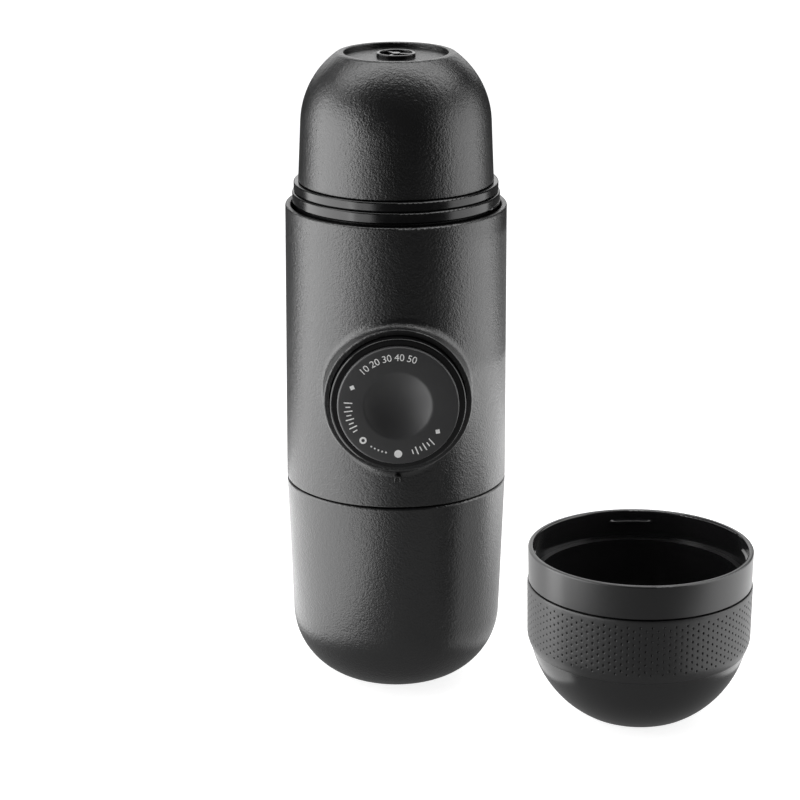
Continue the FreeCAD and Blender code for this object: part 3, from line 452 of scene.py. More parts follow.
def rounded(corners: Sequence[Corner], steps: int = ROUND_STEPS) -> list[Point]:
    """A closed outline with its corners rounded, first point repeated at the end."""
    points: list[Point] = []
    for k, corner in enumerate(corners):
        here = Vector((corner.radius, corner.height))
        if corner.rounding <= 0.0:
            points.append((here.x, here.y))
            continue
        before, after = corners[k - 1], corners[(k + 1) % len(corners)]
        back = (Vector((before.radius, before.height)) - here).normalized()
        ahead = (Vector((after.radius, after.height)) - here).normalized()
        half = math.acos(max(-1.0, min(1.0, back.dot(ahead)))) / 2
        reach = corner.rounding / math.tan(half)
        start, end = here + back * reach, here + ahead * reach
        turn = back.x * ahead.y - back.y * ahead.x
        bend = corner.rounding if turn < 0 else -corner.rounding
        points.append((start.x, start.y))
        points.extend(arc_points((start.x, start.y), (end.x, end.y), bend, steps))
    points.append(points[0])
    return points


def cup_finish() -> CupPlastic:
    """The cup's finish, centred on the cup's own axis."""
    low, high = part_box("cup_body")
    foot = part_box("cup_grip_band")[0].z
    axis = ((low.x + high.x) / 2, (low.y + high.y) / 2)
    return CupPlastic((0.010, 0.010, 0.0105), 0.34, grain=0.35 * MM, grain_depth=0.008 * MM,
                      axis=axis, band_foot=foot)


def active() -> Object:
    """The object that the last operator made."""
    return bpy.context.view_layer.objects.active


def pick_nothing() -> None:
    """Deselect every object."""
    bpy.ops.object.select_all(action="DESELECT")


def pick(piece: Object) -> None:
    """Select one object alone and make it active."""
    pick_nothing()
    piece.select_set(True)
    bpy.context.view_layer.objects.active = piece


def edit(piece: Object) -> None:
    """Open one object for editing, with all its points picked."""
    pick(piece)
    bpy.ops.object.mode_set(mode="EDIT")
    bpy.ops.mesh.select_mode(type="VERT")
    bpy.ops.mesh.select_all(action="SELECT")


def close() -> None:
    """Leave edit mode."""
    bpy.ops.object.mode_set(mode="OBJECT")


def close_outwards() -> None:
    """Turn every face outwards and leave edit mode."""
    bpy.ops.mesh.select_all(action="SELECT")
    bpy.ops.mesh.normals_make_consistent(inside=False)
    close()


def settle(piece: Object) -> None:
    """Put the object's place into its mesh."""
    pick(piece)
    bpy.ops.object.transform_apply(location=True, rotation=True, scale=True)


def smooth(piece: Object, angle: float = SMOOTH_ANGLE) -> None:
    """Shade a piece smooth, with hard edges above an angle."""
    pick(piece)
    bpy.ops.object.shade_smooth_by_angle(angle=angle)


def tidy_mesh(piece: Object) -> None:
    """Merge doubled points and turn every face outwards."""
    edit(piece)
    bpy.ops.mesh.remove_doubles(threshold=WELD_DISTANCE)
    close_outwards()


def thicken(height: float) -> None:
    """Raise the flat piece being edited along +Z and leave edit mode."""
    bpy.ops.mesh.select_all(action="SELECT")
    bpy.ops.mesh.extrude_region_move(TRANSFORM_OT_translate={"value": (0, 0, height)})
    close_outwards()


def draw_chain(name: str, points: Sequence[Vector]) -> Object:
    """A chain of edges, drawn by extruding one point along the way.

    Args:
        name: the piece's name.
        points: the places of the chain's points.

    Returns:
        The object, in object mode, with its place in its mesh.
    """
    pick_nothing()
    bpy.ops.mesh.primitive_plane_add(size=MM, location=points[0])
    piece = active()
    piece.name = name
    piece.data.name = name
    edit(piece)
    bpy.ops.mesh.merge(type="CENTER")
    for here, there in zip(points, points[1:]):
        bpy.ops.mesh.extrude_region_move(TRANSFORM_OT_translate={"value": there - here})
    close()
    settle(piece)
    return piece


def turned(name: str, outline: Sequence[Point], steps: int = TURN_STEPS,
           sweep: float = 2 * math.pi, start: float = 0.0) -> Object:
    """Turn an outline about the Z axis, as on a lathe.

    Args:
        name: the piece's name.
        outline: points of radius and height.
        steps: how many pieces the turn has.
        sweep: the angle of the turn; less than a full one gets closed ends.
        start: the angle at which the turn starts, from +X.

    Returns:
        The piece.
    """
    # The spin runs clockwise, so the outline stands at the far end of its turn
    across = Vector((math.cos(start + sweep), math.sin(start + sweep), 0.0))
    chain = [across * radius + Vector((0.0, 0.0, height)) for radius, height in outline]
    piece = draw_chain(name, chain)
    edit(piece)
    bpy.ops.mesh.remove_doubles(threshold=MERGE_DISTANCE)
    bpy.ops.mesh.spin(steps=steps, angle=sweep, center=(0, 0, 0), axis=(0, 0, 1),
                      use_auto_merge=True)
    bpy.ops.mesh.select_all(action="SELECT")
    bpy.ops.mesh.remove_doubles(threshold=WELD_DISTANCE)
    bpy.ops.mesh.fill_holes(sides=0)
    close_outwards()
    smooth(piece)
    return piece


def wound(name: str, section: Sequence[Point], turns: float, pitch: float, steps: int) -> Object:
    """Wind a closed section round the Z axis into a thread or a coil.

    Args:
        name: the piece's name.
        section: closed points of radius and height, first point repeated at the end.
        turns: how many times it goes round.
        pitch: the rise of one turn.
        steps: pieces per turn.

    Returns:
        The piece, with closed ends.
    """
    piece = draw_chain(name, [Vector((radius, 0.0, height)) for radius, height in section])
    edit(piece)
    bpy.ops.mesh.remove_doubles(threshold=MERGE_DISTANCE)
    close()
    screw = piece.modifiers.new("thread", "SCREW")
    screw.axis = "Z"
    screw.angle = 2 * math.pi * turns
    screw.screw_offset = pitch * turns
    screw.steps = screw.render_steps = int(steps * turns)
    screw.use_merge_vertices = True
    pick(piece)
    bpy.ops.object.modifier_apply(modifier=screw.name)
    edit(piece)
    bpy.ops.mesh.fill_holes(sides=0)
    close_outwards()
    smooth(piece)
    return piece


def select_faces(piece: Object, wanted: Callable[[Vector, Vector], bool]) -> int:
    """Select the faces that a test on centre and normal picks, in edit mode."""
    bpy.ops.mesh.select_mode(type="FACE")
    bpy.ops.mesh.select_all(action="DESELECT")
    mesh = bmesh.from_edit_mesh(piece.data)
    picked = [face for face in mesh.faces if wanted(face.calc_center_median(), face.normal)]
    for face in picked:
        face.select_set(True)
    bmesh.update_edit_mesh(piece.data)
    return len(picked)


def round_section(radius: float, height: float, wire: float, sides: int = 10) -> list[Point]:
    """A closed round section of a wire."""
    angles = [2 * math.pi * k / sides for k in range(sides)]
    points = [(radius + wire * math.cos(a), height + wire * math.sin(a)) for a in angles]
    return points + points[:1]


def ridge_section(core: float, height: float, depth: float, width: float) -> list[Point]:
    """A closed section of a thread ridge; a negative depth points inwards."""
    crest = core + depth
    foot = core - depth * RIDGE_ROOT
    half, top = width / 2, width / RIDGE_CREST_PARTS
    points = [
        (foot, height - half),
        (core, height - half),
        (crest, height - top),
        (crest, height + top),
        (core, height + half),
        (foot, height + half),
    ]
    return points + points[:1]


def lugs(name: str, wall: float, depth: float, height: float, half: float, rounding: float,
         sweep: float, middles: Sequence[float]) -> Object:
    """Short ridges round a wall, each with softened ends.

    Args:
        name: the piece's name.
        wall: the wall's radius.
        depth: how far they stand out; negative points inwards.
        height: the place of their middle.
        half: half their height.
        rounding: the radius of their edges.
        sweep: the angle that each one takes.
        middles: the angle of each one's middle, from +X.

    Returns:
        All of them as one piece.
    """
    root = wall - math.copysign(LUG_SINK, depth)
    section = [
        Corner(root, height - half * LUG_ROOT_FLARE),
        Corner(root, height + half * LUG_ROOT_FLARE),
        Corner(wall + depth, height + half * LUG_CREST_SHARE, rounding),
        Corner(wall + depth, height - half * LUG_CREST_SHARE, rounding),
    ]
    made = []
    for number, middle in enumerate(middles):
        start = middle - sweep / 2
        lug = turned("%s_%d" % (name, number), rounded(section), LUG_STEPS, sweep, start)
        edit(lug)
        mesh = bmesh.from_edit_mesh(lug.data)
        for point in mesh.verts:
            angle = math.atan2(point.co.y, point.co.x) - middle
            angle = (angle + math.pi) % (2 * math.pi) - math.pi
            near_end = max(0.0, abs(angle) / (sweep / 2) - (1.0 - LUG_END)) / LUG_END
            ease = 1.0 - LUG_END_FALL * near_end * near_end
            out = point.co.to_2d().length - root
            point.co.xy = point.co.to_2d().normalized() * (root + out * ease)
        bmesh.update_edit_mesh(lug.data)
        close()
        made.append(lug)
    piece = join(made, name)
    smooth(piece, LUG_SMOOTH_ANGLE)
    return piece


def apply_subdivision(piece: Object, levels: int) -> None:
    """Smooth a piece with a subdivision surface."""
    surface = piece.modifiers.new("smooth", "SUBSURF")
    surface.levels = surface.render_levels = levels
    pick(piece)
    bpy.ops.object.modifier_apply(modifier=surface.name)


def face_front(piece: Object, height: float) -> None:
    """Turn a piece made about Z so that it looks along -Y at the knob's height."""
    piece.rotation_euler = (math.pi / 2, 0.0, 0.0)
    piece.location = (0.0, 0.0, height)
    settle(piece)


def join(pieces: Sequence[Object], name: str) -> Object:
    """Join pieces into one object."""
    pick(pieces[0])
    for piece in pieces:
        piece.select_set(True)
    bpy.ops.object.join()
    joined = active()
    joined.name = name
    joined.data.name = name
    return joined


class Workshop:
    """Holds the finishes and dresses the pieces, most of which it sets on their bodies."""

    def __init__(self) -> None:
        """Make every finish once."""
        finishes = {**FINISHES, Slot.CUP: cup_finish()}
        self.finishes = {slot: finish.make(slot.value) for slot, finish in finishes.items()}
        self.ink = INK.make(INK_NAME)

    def dress_nodes(self) -> None:
        """Give every carried-over CAD node its own finish."""
        for entry in frame["record"]["subparts"]:
            node = frame["nodes"][entry["node"]]
            finish = self.finishes[Slot(entry["material_slot"])]
            for place in node.material_slots:
                place.material = finish

    def dress(self, piece: Object, slot: Slot,
              material: Optional[bpy.types.Material] = None) -> None:
        """Give a piece its finish: its own, or the one of the record's slot that it stands for."""
        piece.data.materials.clear()
        piece.data.materials.append(material or self.finishes[slot])

    def fit(self, piece: Object, body: Body, slot: Slot, replaces: Sequence[str] = (),
            material: Optional[bpy.types.Material] = None) -> None:
        """Dress a piece and let it ride on its body.

        Args:
            piece: the finished piece.
            body: the body it moves with.
            slot: the record's slot that its finish stands for.
            replaces: CAD nodes that the piece stands for.
            material: a finish of its own, if it isn't the slot's.
        """
        self.dress(piece, slot, material)
        if replaces:
            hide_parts(*replaces)
        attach(piece, body.value)
        LOG.info("%s: %d faces on %s", piece.name, len(piece.data.polygons), body.value)

    def fit_bent(self, piece: Object, slot: Slot, replaced: str, start: Vector,
                 end: Vector) -> None:
        """Dress a piece that stretches between the main body and the piston.

        Args:
            piece: the finished piece.
            slot: the record's slot that its finish stands for.
            replaced: the CAD node that the piece stands for.
            start: where it leaves the main body; not used.
            end: where it meets the piston; not used.
        """
        self.dress(piece, slot)
        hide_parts(replaced)
        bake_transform(piece)
        LOG.info("%s: %d faces between two bodies", piece.name, len(piece.data.polygons))


@dataclass
class Cup:
    """The cup: lugs inside its rim and the dimpled grip band."""

    shop: Workshop
    columns: int = 120
    rows: int = 15
    dimple: float = 0.62 * MM
    dimple_wall: float = 0.22
    dimple_depth: float = 0.34 * MM
    low_margin: float = 2.3 * MM
    high_margin: float = 1.3 * MM
    band_thick: float = 1.55 * MM
    band_edge: float = 0.12 * MM
    band_smooth: float = math.radians(60)
    foot_inset: float = 1.2 * MM
    hip_inset: float = 0.2 * MM
    chamfer: float = 3.3 * MM
    lug_count: int = 4
    lug_sweep: float = math.radians(23)
    lug_drop: float = 3.2 * MM
    lug_height: float = 0.5 * MM
    lug_depth: float = 0.7 * MM
    lug_round: float = 0.2 * MM
    wall: float = 1.4 * MM

    def build(self) -> None:
        """Make the cup's own pieces."""
        low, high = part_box("cup_body")
        self.centre = (low + high) / 2
        self.top = high.z
        self.radius = (high.x - low.x) / 2
        self._grip_band()
        self._lugs()

    def _move(self, piece: Object) -> None:
        """Move a piece made about the Z axis to the cup's own axis."""
        piece.location = (self.centre.x, self.centre.y, 0.0)
        settle(piece)

    def _grip_band(self) -> None:
        """Turn the band and press its staggered dimples."""
        low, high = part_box("cup_grip_band")
        outer = (high.x - low.x) / 2
        inner, edge = outer - self.band_thick, self.band_edge
        hip_height = low.z + self.chamfer
        first, last = low.z + self.low_margin, high.z - self.high_margin
        step = (last - first) / self.rows

        def skin(height: float) -> float:
            """The band's outer radius at a height."""
            if height < hip_height:
                rise = 1.0 - (hip_height - height) / self.chamfer
                swell = (self.foot_inset - self.hip_inset) * math.sin(rise * math.pi / 2)
                return outer - self.foot_inset + swell
            return outer - self.hip_inset * (high.z - height) / (high.z - hip_height)

        heights = [low.z + edge, low.z + self.low_margin / 2]
        heights += [first + step * k for k in range(self.rows + 1)]
        heights.append(high.z - edge * 2)
        outline = [(inner, low.z), (outer - self.foot_inset - edge, low.z)]
        outline += [(skin(height), height) for height in heights]
        outline += [
            (outer - edge, high.z),
            (outer - edge * 3, high.z),
            (inner, high.z),
            (inner, (low.z + high.z) / 2),
            (inner, low.z),
        ]
        band = turned("grip_band", outline, steps=self.columns * 2)
        pitch = math.pi / self.columns

        def pressed(centre: Vector, normal: Vector) -> bool:
            """True for every second cell of every second column, staggered."""
            if not first < centre.z < last or centre.to_2d().length < outer - self.foot_inset:
                return False
            turn = math.atan2(centre.y, centre.x) % (2 * math.pi)
            column = int(math.floor(turn / pitch))
            row = int((centre.z - first) / step)
            return column % 2 == 0 and row % 2 == (column // 2) % 2

        edit(band)
        count = select_faces(band, pressed)
        width = outer * pitch
        bpy.ops.mesh.inset(thickness=(width - self.dimple) / 2, depth=0.0, use_individual=True)
        bpy.ops.mesh.inset(thickness=self.dimple * self.dimple_wall, depth=-self.dimple_depth,
                           use_individual=True)
        close()
        apply_subdivision(band, 1)
        tidy_mesh(band)
        smooth(band, self.band_smooth)
        self._move(band)
        LOG.info("grip band has %d dimples", count)
        self.shop.fit(band, Body.CUP, Slot.GRIP, replaces=("cup_grip_band",))

    def _lugs(self) -> None:
        """Thread lugs inside the rim."""
        wall = self.radius - self.wall
        height = self.top - self.lug_drop
        middles = [2 * math.pi / self.lug_count * (k + 1) for k in range(self.lug_count)]
        piece = lugs("cup_lugs", wall, -self.lug_depth, height, self.lug_height, self.lug_round,
                     self.lug_sweep, middles)
        self._move(piece)
        self.shop.fit(piece, Body.CUP, Slot.CUP)


@dataclass(frozen=True)
class Screw:
    """A thread ridge: where it stands, how it is cut, and which way it looks."""

    name: str
    radius: float
    foot: float
    depth: float
    turns: float
    body: Body
    slot: Slot
    width: float = 1.1 * MM
    pitch: float = 2.2 * MM
    steps: int = 96


@dataclass
class Threads:
    """The screw threads of the tank and the outlet head, and the ring's thread starts."""

    shop: Workshop
    running: float = 0.25 * MM
    tank_wall: float = 2.0 * MM
    tank_lift: float = 1.1 * MM
    tank_turns: float = 1.6
    plug_lift: float = 1.6 * MM
    plug_turns: float = 2.0
    neck_depth: float = 0.14 * MM
    neck_step: float = 0.4 * MM
    neck_drop: float = 7.4 * MM
    neck_turns: float = 2.5
    head_gap: float = 0.35 * MM
    core_lift: float = 3.0 * MM
    ring_drop: float = 12.9 * MM
    start_drop: float = 5.3 * MM
    start_depth: float = 0.55 * MM
    start_height: float = 0.45 * MM
    start_sink: float = 0.7 * MM
    start_round: float = 0.18 * MM
    start_sweep: float = math.radians(25)
    start_angles: tuple[float, ...] = (-15.0, 75.0, 165.0)

    def build(self) -> None:
        """Wind every thread and set the ring's starts."""
        seal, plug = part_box("tank_seal"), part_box("base_plug")
        tank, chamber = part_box("water_tank"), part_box("brew_chamber")
        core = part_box("outlet_head_core")
        mouth = tank[1].x - self.tank_wall
        plug_radius = seal[1].x
        neck_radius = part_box("head_seal")[1].x + self.neck_step
        core_bore = neck_radius + self.head_gap
        foot = plug[0].z + self.plug_lift
        neck_foot = chamber[1].z - self.neck_drop
        core_foot = core[0].z + self.core_lift
        for screw in (
            Screw("tank_thread", mouth, foot + self.tank_lift, -self.running, self.tank_turns,
                  Body.TANK, Slot.SHELL),
            Screw("plug_thread", plug_radius, foot, self.running, self.plug_turns,
                  Body.MAIN, Slot.GLOSS),
            Screw("neck_thread", neck_radius, neck_foot, self.neck_depth, self.neck_turns,
                  Body.MAIN, Slot.GLOSS),
            Screw("core_thread", core_bore, core_foot, -self.neck_depth, self.neck_turns,
                  Body.HEAD, Slot.GLOSS),
        ):
            section = ridge_section(screw.radius, screw.foot, screw.depth, screw.width)
            ridge = wound(screw.name, section, screw.turns, screw.pitch, screw.steps)
            self.shop.fit(ridge, screw.body, screw.slot)
        height = chamber[1].z - self.ring_drop - self.start_drop
        outside = (chamber[1].x - chamber[0].x) / 2 - self.start_sink
        starts = lugs("ring_thread_starts", outside, self.start_depth, height, self.start_height,
                      self.start_round, self.start_sweep,
                      [math.radians(angle) for angle in self.start_angles])
        self.shop.fit(starts, Body.MAIN, Slot.GLOSS)


@dataclass
class IndexMark:
    """The small arch on the shell under the knob, which the knob's marks turn to."""

    shop: Workshop
    height: float = 64.6 * MM
    back: float = 29.0 * MM
    front: float = 30.5 * MM
    bore: float = 0.45 * MM
    rim: float = 0.95 * MM
    leg: float = 0.75 * MM
    edge: float = 0.15 * MM
    edge_steps: int = 2
    arch_steps: int = 20
    facing: float = 0.99

    def build(self) -> None:
        """Turn half a ring, draw its feet down and set it on the shell's front."""
        section = [
            Corner(self.bore, self.back),
            Corner(self.rim, self.back),
            Corner(self.rim, self.front, self.edge),
            Corner(self.bore, self.front, self.edge),
        ]
        outline = rounded(section, self.edge_steps)
        arch = turned("index_mark", outline, steps=self.arch_steps, sweep=math.pi)

        def foot(centre: Vector, normal: Vector) -> bool:
            """True for the two cut ends of the half ring."""
            return normal.y < -self.facing and abs(centre.y) < self.edge

        edit(arch)
        select_faces(arch, foot)
        bpy.ops.mesh.extrude_region_move(TRANSFORM_OT_translate={"value": (0.0, -self.leg, 0.0)})
        close()
        tidy_mesh(arch)
        face_front(arch, self.height)
        smooth(arch)
        self.shop.fit(arch, Body.MAIN, Slot.SHELL)


@dataclass
class PumpKnob:
    """The knob's matte face with its thumb hollow and its white marks."""

    shop: Workshop
    hollow_radius: float = 8.8 * MM
    hollow_depth: float = 2.3 * MM
    hollow_steps: int = 14
    hollow_lip: float = 0.5 * MM
    lip_bend: float = 3.5
    lip_steps: int = 5
    rim_round: float = 0.5 * MM
    rim_steps: int = 6
    face_steps: int = 144
    mark_radius: float = 12.8 * MM
    ink_lift: float = 0.03 * MM
    round_sides: int = 32
    dot_radius: float = 1.03 * MM
    ring_radius: float = 0.93 * MM
    ring_width: float = 0.48 * MM
    closed_angle: float = -90.0
    open_angle: float = -134.5
    small_dot_sides: int = 12
    small_dot_radius: float = 0.24 * MM
    small_dot_count: int = 5
    small_dot_start: float = -122.5
    small_dot_step: float = 4.6
    diamond_sides: int = 4
    diamond_radius: float = 0.75 * MM
    diamonds: tuple[Point, ...] = ((157.0, 12.7 * MM), (-34.0, 12.2 * MM))
    numbers: tuple[str, ...] = ("10", "20", "30", "40", "50")
    number_size: float = 2.6 * MM
    number_start: float = 132.0
    number_step: float = 14.5
    tick_rows: tuple[tuple[float, int], ...] = ((176.0, 8), (-48.0, 6))
    tick_step: float = 5.0
    tick_width: float = 0.3 * MM
    tick_long: float = 2.2 * MM
    tick_short: float = 1.3 * MM
    tick_round: float = 0.3

    def build(self) -> None:
        """Make the face and its print."""
        low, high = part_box("knob_face")
        self.height = (low.z + high.z) / 2
        self.front = -low.y
        self.back = -high.y
        self.radius = (high.x - low.x) / 2
        self._face()
        self._print()

    def _face(self) -> None:
        """Turn the face with its hollow, softened at the hollow's edge."""
        sphere = (self.hollow_radius ** 2 + self.hollow_depth ** 2) / (2 * self.hollow_depth)
        slope = math.asin(self.hollow_radius / sphere)
        lip_start = self.hollow_radius + self.hollow_lip
        lip_end = self.hollow_radius - self.hollow_lip
        sunk = self.hollow_lip * math.tan(slope)
        outline = [(0.0, self.back), (self.radius, self.back)]
        outline += [(self.radius, self.front - self.rim_round)]
        outline += arc_points(outline[-1], (self.radius - self.rim_round, self.front),
                              self.rim_round, self.rim_steps)
        outline += [(lip_start, self.front)]
        outline += arc_points(outline[-1], (lip_end, self.front - sunk),
                              self.hollow_lip * self.lip_bend, self.lip_steps)
        outline += arc_points(outline[-1], (0.0, self.front - self.hollow_depth),
                              -sphere, self.hollow_steps)
        face = turned("knob_face_disc", outline, steps=self.face_steps)
        face_front(face, self.height)
        smooth(face)
        self.shop.fit(face, Body.KNOB, Slot.KNOB, replaces=("knob_face",))

    def _place(self, piece: Object, angle: float, radius: float) -> Object:
        """Lay a flat mark, drawn upright at the origin, on the face at an angle from +X.

        Args:
            piece: the mark.
            angle: where it goes, in degrees from +X.
            radius: how far from the knob's axis it goes.

        Returns:
            The mark.
        """
        turn = math.radians(angle)
        piece.rotation_euler = (0.0, 0.0, turn - math.pi / 2)
        piece.location = (radius * math.cos(turn), radius * math.sin(turn), self.front)
        settle(piece)
        face_front(piece, self.height)
        return piece

    def _flat(self, name: str, sides: int, radius: float, width: float = 0.0) -> Object:
        """A thin flat mark.

        Args:
            name: the mark's name.
            sides: how many sides it has.
            radius: its outer radius.
            width: the width of an open ring; 0 makes a full mark.

        Returns:
            The mark, drawn at the origin.
        """
        pick_nothing()
        bpy.ops.mesh.primitive_circle_add(vertices=sides, radius=radius, fill_type="NGON")
        piece = active()
        piece.name = name
        edit(piece)
        if width > 0.0:
            bpy.ops.mesh.inset(thickness=width)
            bpy.ops.mesh.delete(type="FACE")
        thicken(self.ink_lift)
        return piece

    def _tick(self, length: float) -> Object:
        """A thin flat bar that points outwards."""
        pick_nothing()
        bpy.ops.mesh.primitive_plane_add(size=1.0)
        piece = active()
        piece.name = "bar"
        edit(piece)
        bpy.ops.transform.resize(value=(self.tick_width, length, 1.0))
        bpy.ops.mesh.bevel(offset=self.tick_width * self.tick_round, segments=2, affect="VERTICES")
        thicken(self.ink_lift)
        return piece

    def _digits(self, text: str) -> Object:
        """A plain number, its top outwards."""
        pick_nothing()
        bpy.ops.object.text_add()
        piece = active()
        piece.data.body = text
        piece.data.size = self.number_size
        piece.data.align_x = "CENTER"
        piece.data.align_y = "CENTER"
        piece.data.extrude = self.ink_lift / 2
        pick(piece)
        bpy.ops.object.convert(target="MESH")
        return active()

    def _print(self) -> None:
        """The closed dot, the open ring, the dots between them, a plain scale and ticks."""
        radius = self.mark_radius
        dot = self._flat("dot", self.round_sides, self.dot_radius)
        marks = [self._place(dot, self.closed_angle, radius)]
        ring = self._flat("ring", self.round_sides, self.ring_radius, self.ring_width)
        marks.append(self._place(ring, self.open_angle, radius))
        for k in range(self.small_dot_count):
            small = self._flat("small_dot", self.small_dot_sides, self.small_dot_radius)
            angle = self.small_dot_start + self.small_dot_step * k
            marks.append(self._place(small, angle, radius))
        for angle, reach in self.diamonds:
            diamond = self._flat("diamond", self.diamond_sides, self.diamond_radius)
            marks.append(self._place(diamond, angle, reach))
        for k, text in enumerate(self.numbers):
            angle = self.number_start - self.number_step * k
            marks.append(self._place(self._digits(text), angle, radius))
        for start, count in self.tick_rows:
            sign = 1.0 if start > 0 else -1.0
            for k in range(count):
                tick = self._tick(self.tick_long if k % 2 == 0 else self.tick_short)
                marks.append(self._place(tick, start + sign * self.tick_step * k, radius))
        piece = join(marks, "knob_print")
        tidy_mesh(piece)
        self.shop.fit(piece, Body.KNOB, Slot.KNOB, material=self.shop.ink)


@dataclass
class Springs:
    """The pump's return spring and the outlet valve's small spring."""

    shop: Workshop
    pump_wire: float = 0.7 * MM
    pump_turns: float = 8.0
    pump_steps: int = 40
    valve_wire: float = 0.2 * MM
    valve_turns: float = 4.0
    valve_steps: int = 24
    valve_sides: int = 8
    ball_lift: float = 1.2 * MM

    def build(self) -> None:
        """Wind both springs where the CAD ones stand."""
        self._return_spring()
        self._valve_spring()

    def _return_spring(self) -> None:
        """A coil that stretches between the barrel's floor and the knob."""
        low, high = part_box("return_spring")
        knob_low, knob_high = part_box("knob_skirt")
        height = (knob_low.z + knob_high.z) / 2
        wire, turns = self.pump_wire, self.pump_turns
        radius = (high.x - low.x) / 2 - wire
        start, end = -high.y, -low.y
        section = round_section(radius, start + wire, wire)
        pitch = (end - start - 2 * wire) / turns
        coil = wound("knob_spring", section, turns, pitch, self.pump_steps)
        face_front(coil, height)
        smooth(coil)
        self.shop.fit_bent(coil, Slot.STEEL, "return_spring", Vector((0, -start, height)),
                           Vector((0, -end, height)))

    def _valve_spring(self) -> None:
        """The small coil over the outlet ball, at its rest length on the main body; the real one
        shortens as the ball lifts.
        """
        low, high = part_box("outlet_valve_spring")
        wire, turns = self.valve_wire, self.valve_turns
        radius = (high.x - low.x) / 2 - wire
        centre = (low + high) / 2
        section = round_section(radius, low.z + wire, wire, self.valve_sides)
        pitch = (high.z - low.z - 2 * wire) / turns
        coil = wound("valve_spring", section, turns, pitch, self.valve_steps)
        coil.location = (centre.x, centre.y, 0.0)
        settle(coil)
        self.shop.fit(coil, Body.MAIN, Slot.STEEL, replaces=("outlet_valve_spring",))
        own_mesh(coil)


@dataclass(frozen=True)
class Lamp:
    """A soft rectangular lamp: its place, where it looks, its size and how bright its face is."""

    name: str
    place: Place
    target: Place
    size: Point
    radiance: float


LAMPS = (
    Lamp("left_softbox", (-0.30, -0.07, 0.14), (0.0, -0.07, 0.14), (0.42, 0.28), 3.9),
    Lamp("right_softbox", (0.34, -0.01, 0.14), (0.0, -0.01, 0.14), (0.38, 0.28), 2.0),
    Lamp("left_table_glow", (-0.17, 0.0, 0.003), (-0.17, 0.0, 1.0), (0.26, 0.30), 2.3),
    Lamp("right_table_glow", (0.24, 0.05, 0.003), (0.24, 0.05, 1.0), (0.28, 0.30), 1.4),
    Lamp("gap_glow_to_maker", (0.0317, 0.02, 0.045), (-1.0, 0.02, 0.045), (0.10, 0.088), 0.5),
    Lamp("high_gap_glow", (0.0318, 0.02, 0.062), (-1.0, 0.02, 0.062), (0.10, 0.122), 0.22),
    Lamp("gap_glow_to_cup", (0.0317, 0.0, 0.035), (1.0, 0.0, 0.035), (0.10, 0.068), 1.2),
    Lamp("front_left_fill", (-0.24, -0.30, 0.05), (0.0, -0.03, 0.08), (0.18, 0.10), 2.4),
    Lamp("top_softbox", (0.0, 0.10, 0.80), (0.0, 0.10, 0.0), (1.8, 0.45), 3.4),
    Lamp("back_softbox", (0.0, 1.5, 0.62), (0.0, 0.0, 0.15), (1.6, 0.8), 1.4),
)


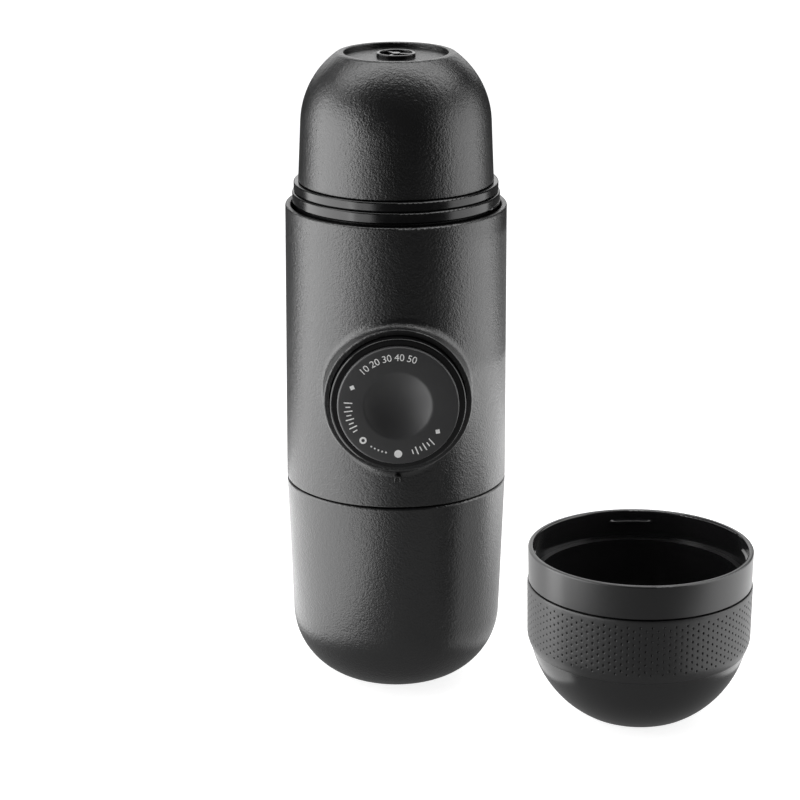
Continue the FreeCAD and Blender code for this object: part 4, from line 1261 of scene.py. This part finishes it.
@dataclass
class Studio:
    """The pale floor, the soft lamps and the camera."""

    floor_size: float = 12.0
    floor_sides: int = 64
    floor_roughness: float = 0.9
    floor_specular: float = 0.1
    floor_glow: float = 0.85
    floor_grey: float = 0.5
    floor_dim: float = 0.05
    reflected: float = 0.02
    # painted glow: how far round the object, and how strongly, the floor shows brighter in
    # reflections
    painted_glow_radius: float = 0.5
    painted_glow_strength: float = 0.24
    world_grey: float = 0.03
    lens: float = 125.4
    sensor: float = 36.0
    camera_place: Place = (-0.01016, -0.71273, 0.2996)
    camera_pitch: float = 72.628
    camera_yaw: float = -0.9

    def build(self) -> None:
        """Set the stage."""
        self._floor()
        self._world()
        for lamp in LAMPS:
            self._lamp(lamp)
        self._camera()

    def _floor(self) -> None:
        """A pale floor that stays white to the lens and keeps the shadow."""
        pick_nothing()
        bpy.ops.mesh.primitive_circle_add(vertices=self.floor_sides, radius=self.floor_size,
                                          fill_type="NGON")
        floor = active()
        floor.name = "floor"
        floor.data.materials.append(self._floor_finish())

    def _floor_finish(self) -> bpy.types.Material:
        """Pale paint: white to the lens and faint in reflections, with a painted glow round the
        object that only reflections show.
        """
        shader = Shader(bpy.data.materials.new("floor_paint"))
        # painted glow: the floor's emission in reflections rises towards the object's place
        painted_glow_share = shader.ramp(shader.distance() * -1.0, -self.painted_glow_radius, 0.0)
        seen = shader.seen_directly(painted_glow_share * self.painted_glow_strength + self.reflected)
        glow, grey = (self.floor_glow,) * 3, (self.floor_grey,) * 3
        dim = (self.floor_dim,) * 3
        return shader.surface({
            "Base Color": shader.blend(seen, dim, grey),
            "Roughness": self.floor_roughness,
            "Specular IOR Level": self.floor_specular,
            "Emission Color": shader.blend(seen, (0.0, 0.0, 0.0), glow),
            "Emission Strength": 1.0,
        })

    def _world(self) -> None:
        """A dim even surround that looks white to the lens."""
        world = bpy.data.worlds.new("studio")
        bpy.context.scene.world = world
        shader = Shader(world, "World")
        seen = shader.seen_directly(self.reflected)
        colour = shader.blend(seen, (self.world_grey,) * 3, (1.0, 1.0, 1.0))
        shader.surface({"Color": colour}, "ShaderNodeBackground")

    def _lamp(self, kind: Lamp) -> None:
        """Hang one lamp and aim it."""
        pick_nothing()
        bpy.ops.object.light_add(type="AREA", location=kind.place)
        lamp = active()
        lamp.name = kind.name
        lamp.data.shape = "RECTANGLE"
        lamp.data.size, lamp.data.size_y = kind.size
        lamp.data.energy = kind.radiance * math.pi * kind.size[0] * kind.size[1]
        aim = Vector(kind.target) - Vector(kind.place)
        lamp.rotation_euler = aim.to_track_quat("-Z", "Y").to_euler()
        lamp.visible_camera = False

    def _camera(self) -> None:
        """The photograph's viewpoint."""
        pick_nothing()
        bpy.ops.object.camera_add(location=self.camera_place)
        camera = active()
        camera.name = "camera"
        pitch, yaw = math.radians(self.camera_pitch), math.radians(self.camera_yaw)
        camera.rotation_euler = (pitch, 0.0, yaw)
        camera.data.sensor_width = self.sensor
        camera.data.lens = self.lens
        bpy.context.scene.camera = camera
        bpy.context.scene.view_settings.view_transform = "Standard"


def main() -> None:
    """Dress the frame and build every piece."""
    logging.basicConfig(level=logging.INFO, format="%(name)s: %(message)s")
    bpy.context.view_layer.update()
    shop = Workshop()
    shop.dress_nodes()
    kinds = (Cup, Threads, IndexMark, PumpKnob, Springs)
    for assembly in (*(kind(shop) for kind in kinds), Studio()):
        assembly.build()
        LOG.info("%s is done", type(assembly).__name__)


if __name__ == "__main__":
    main()
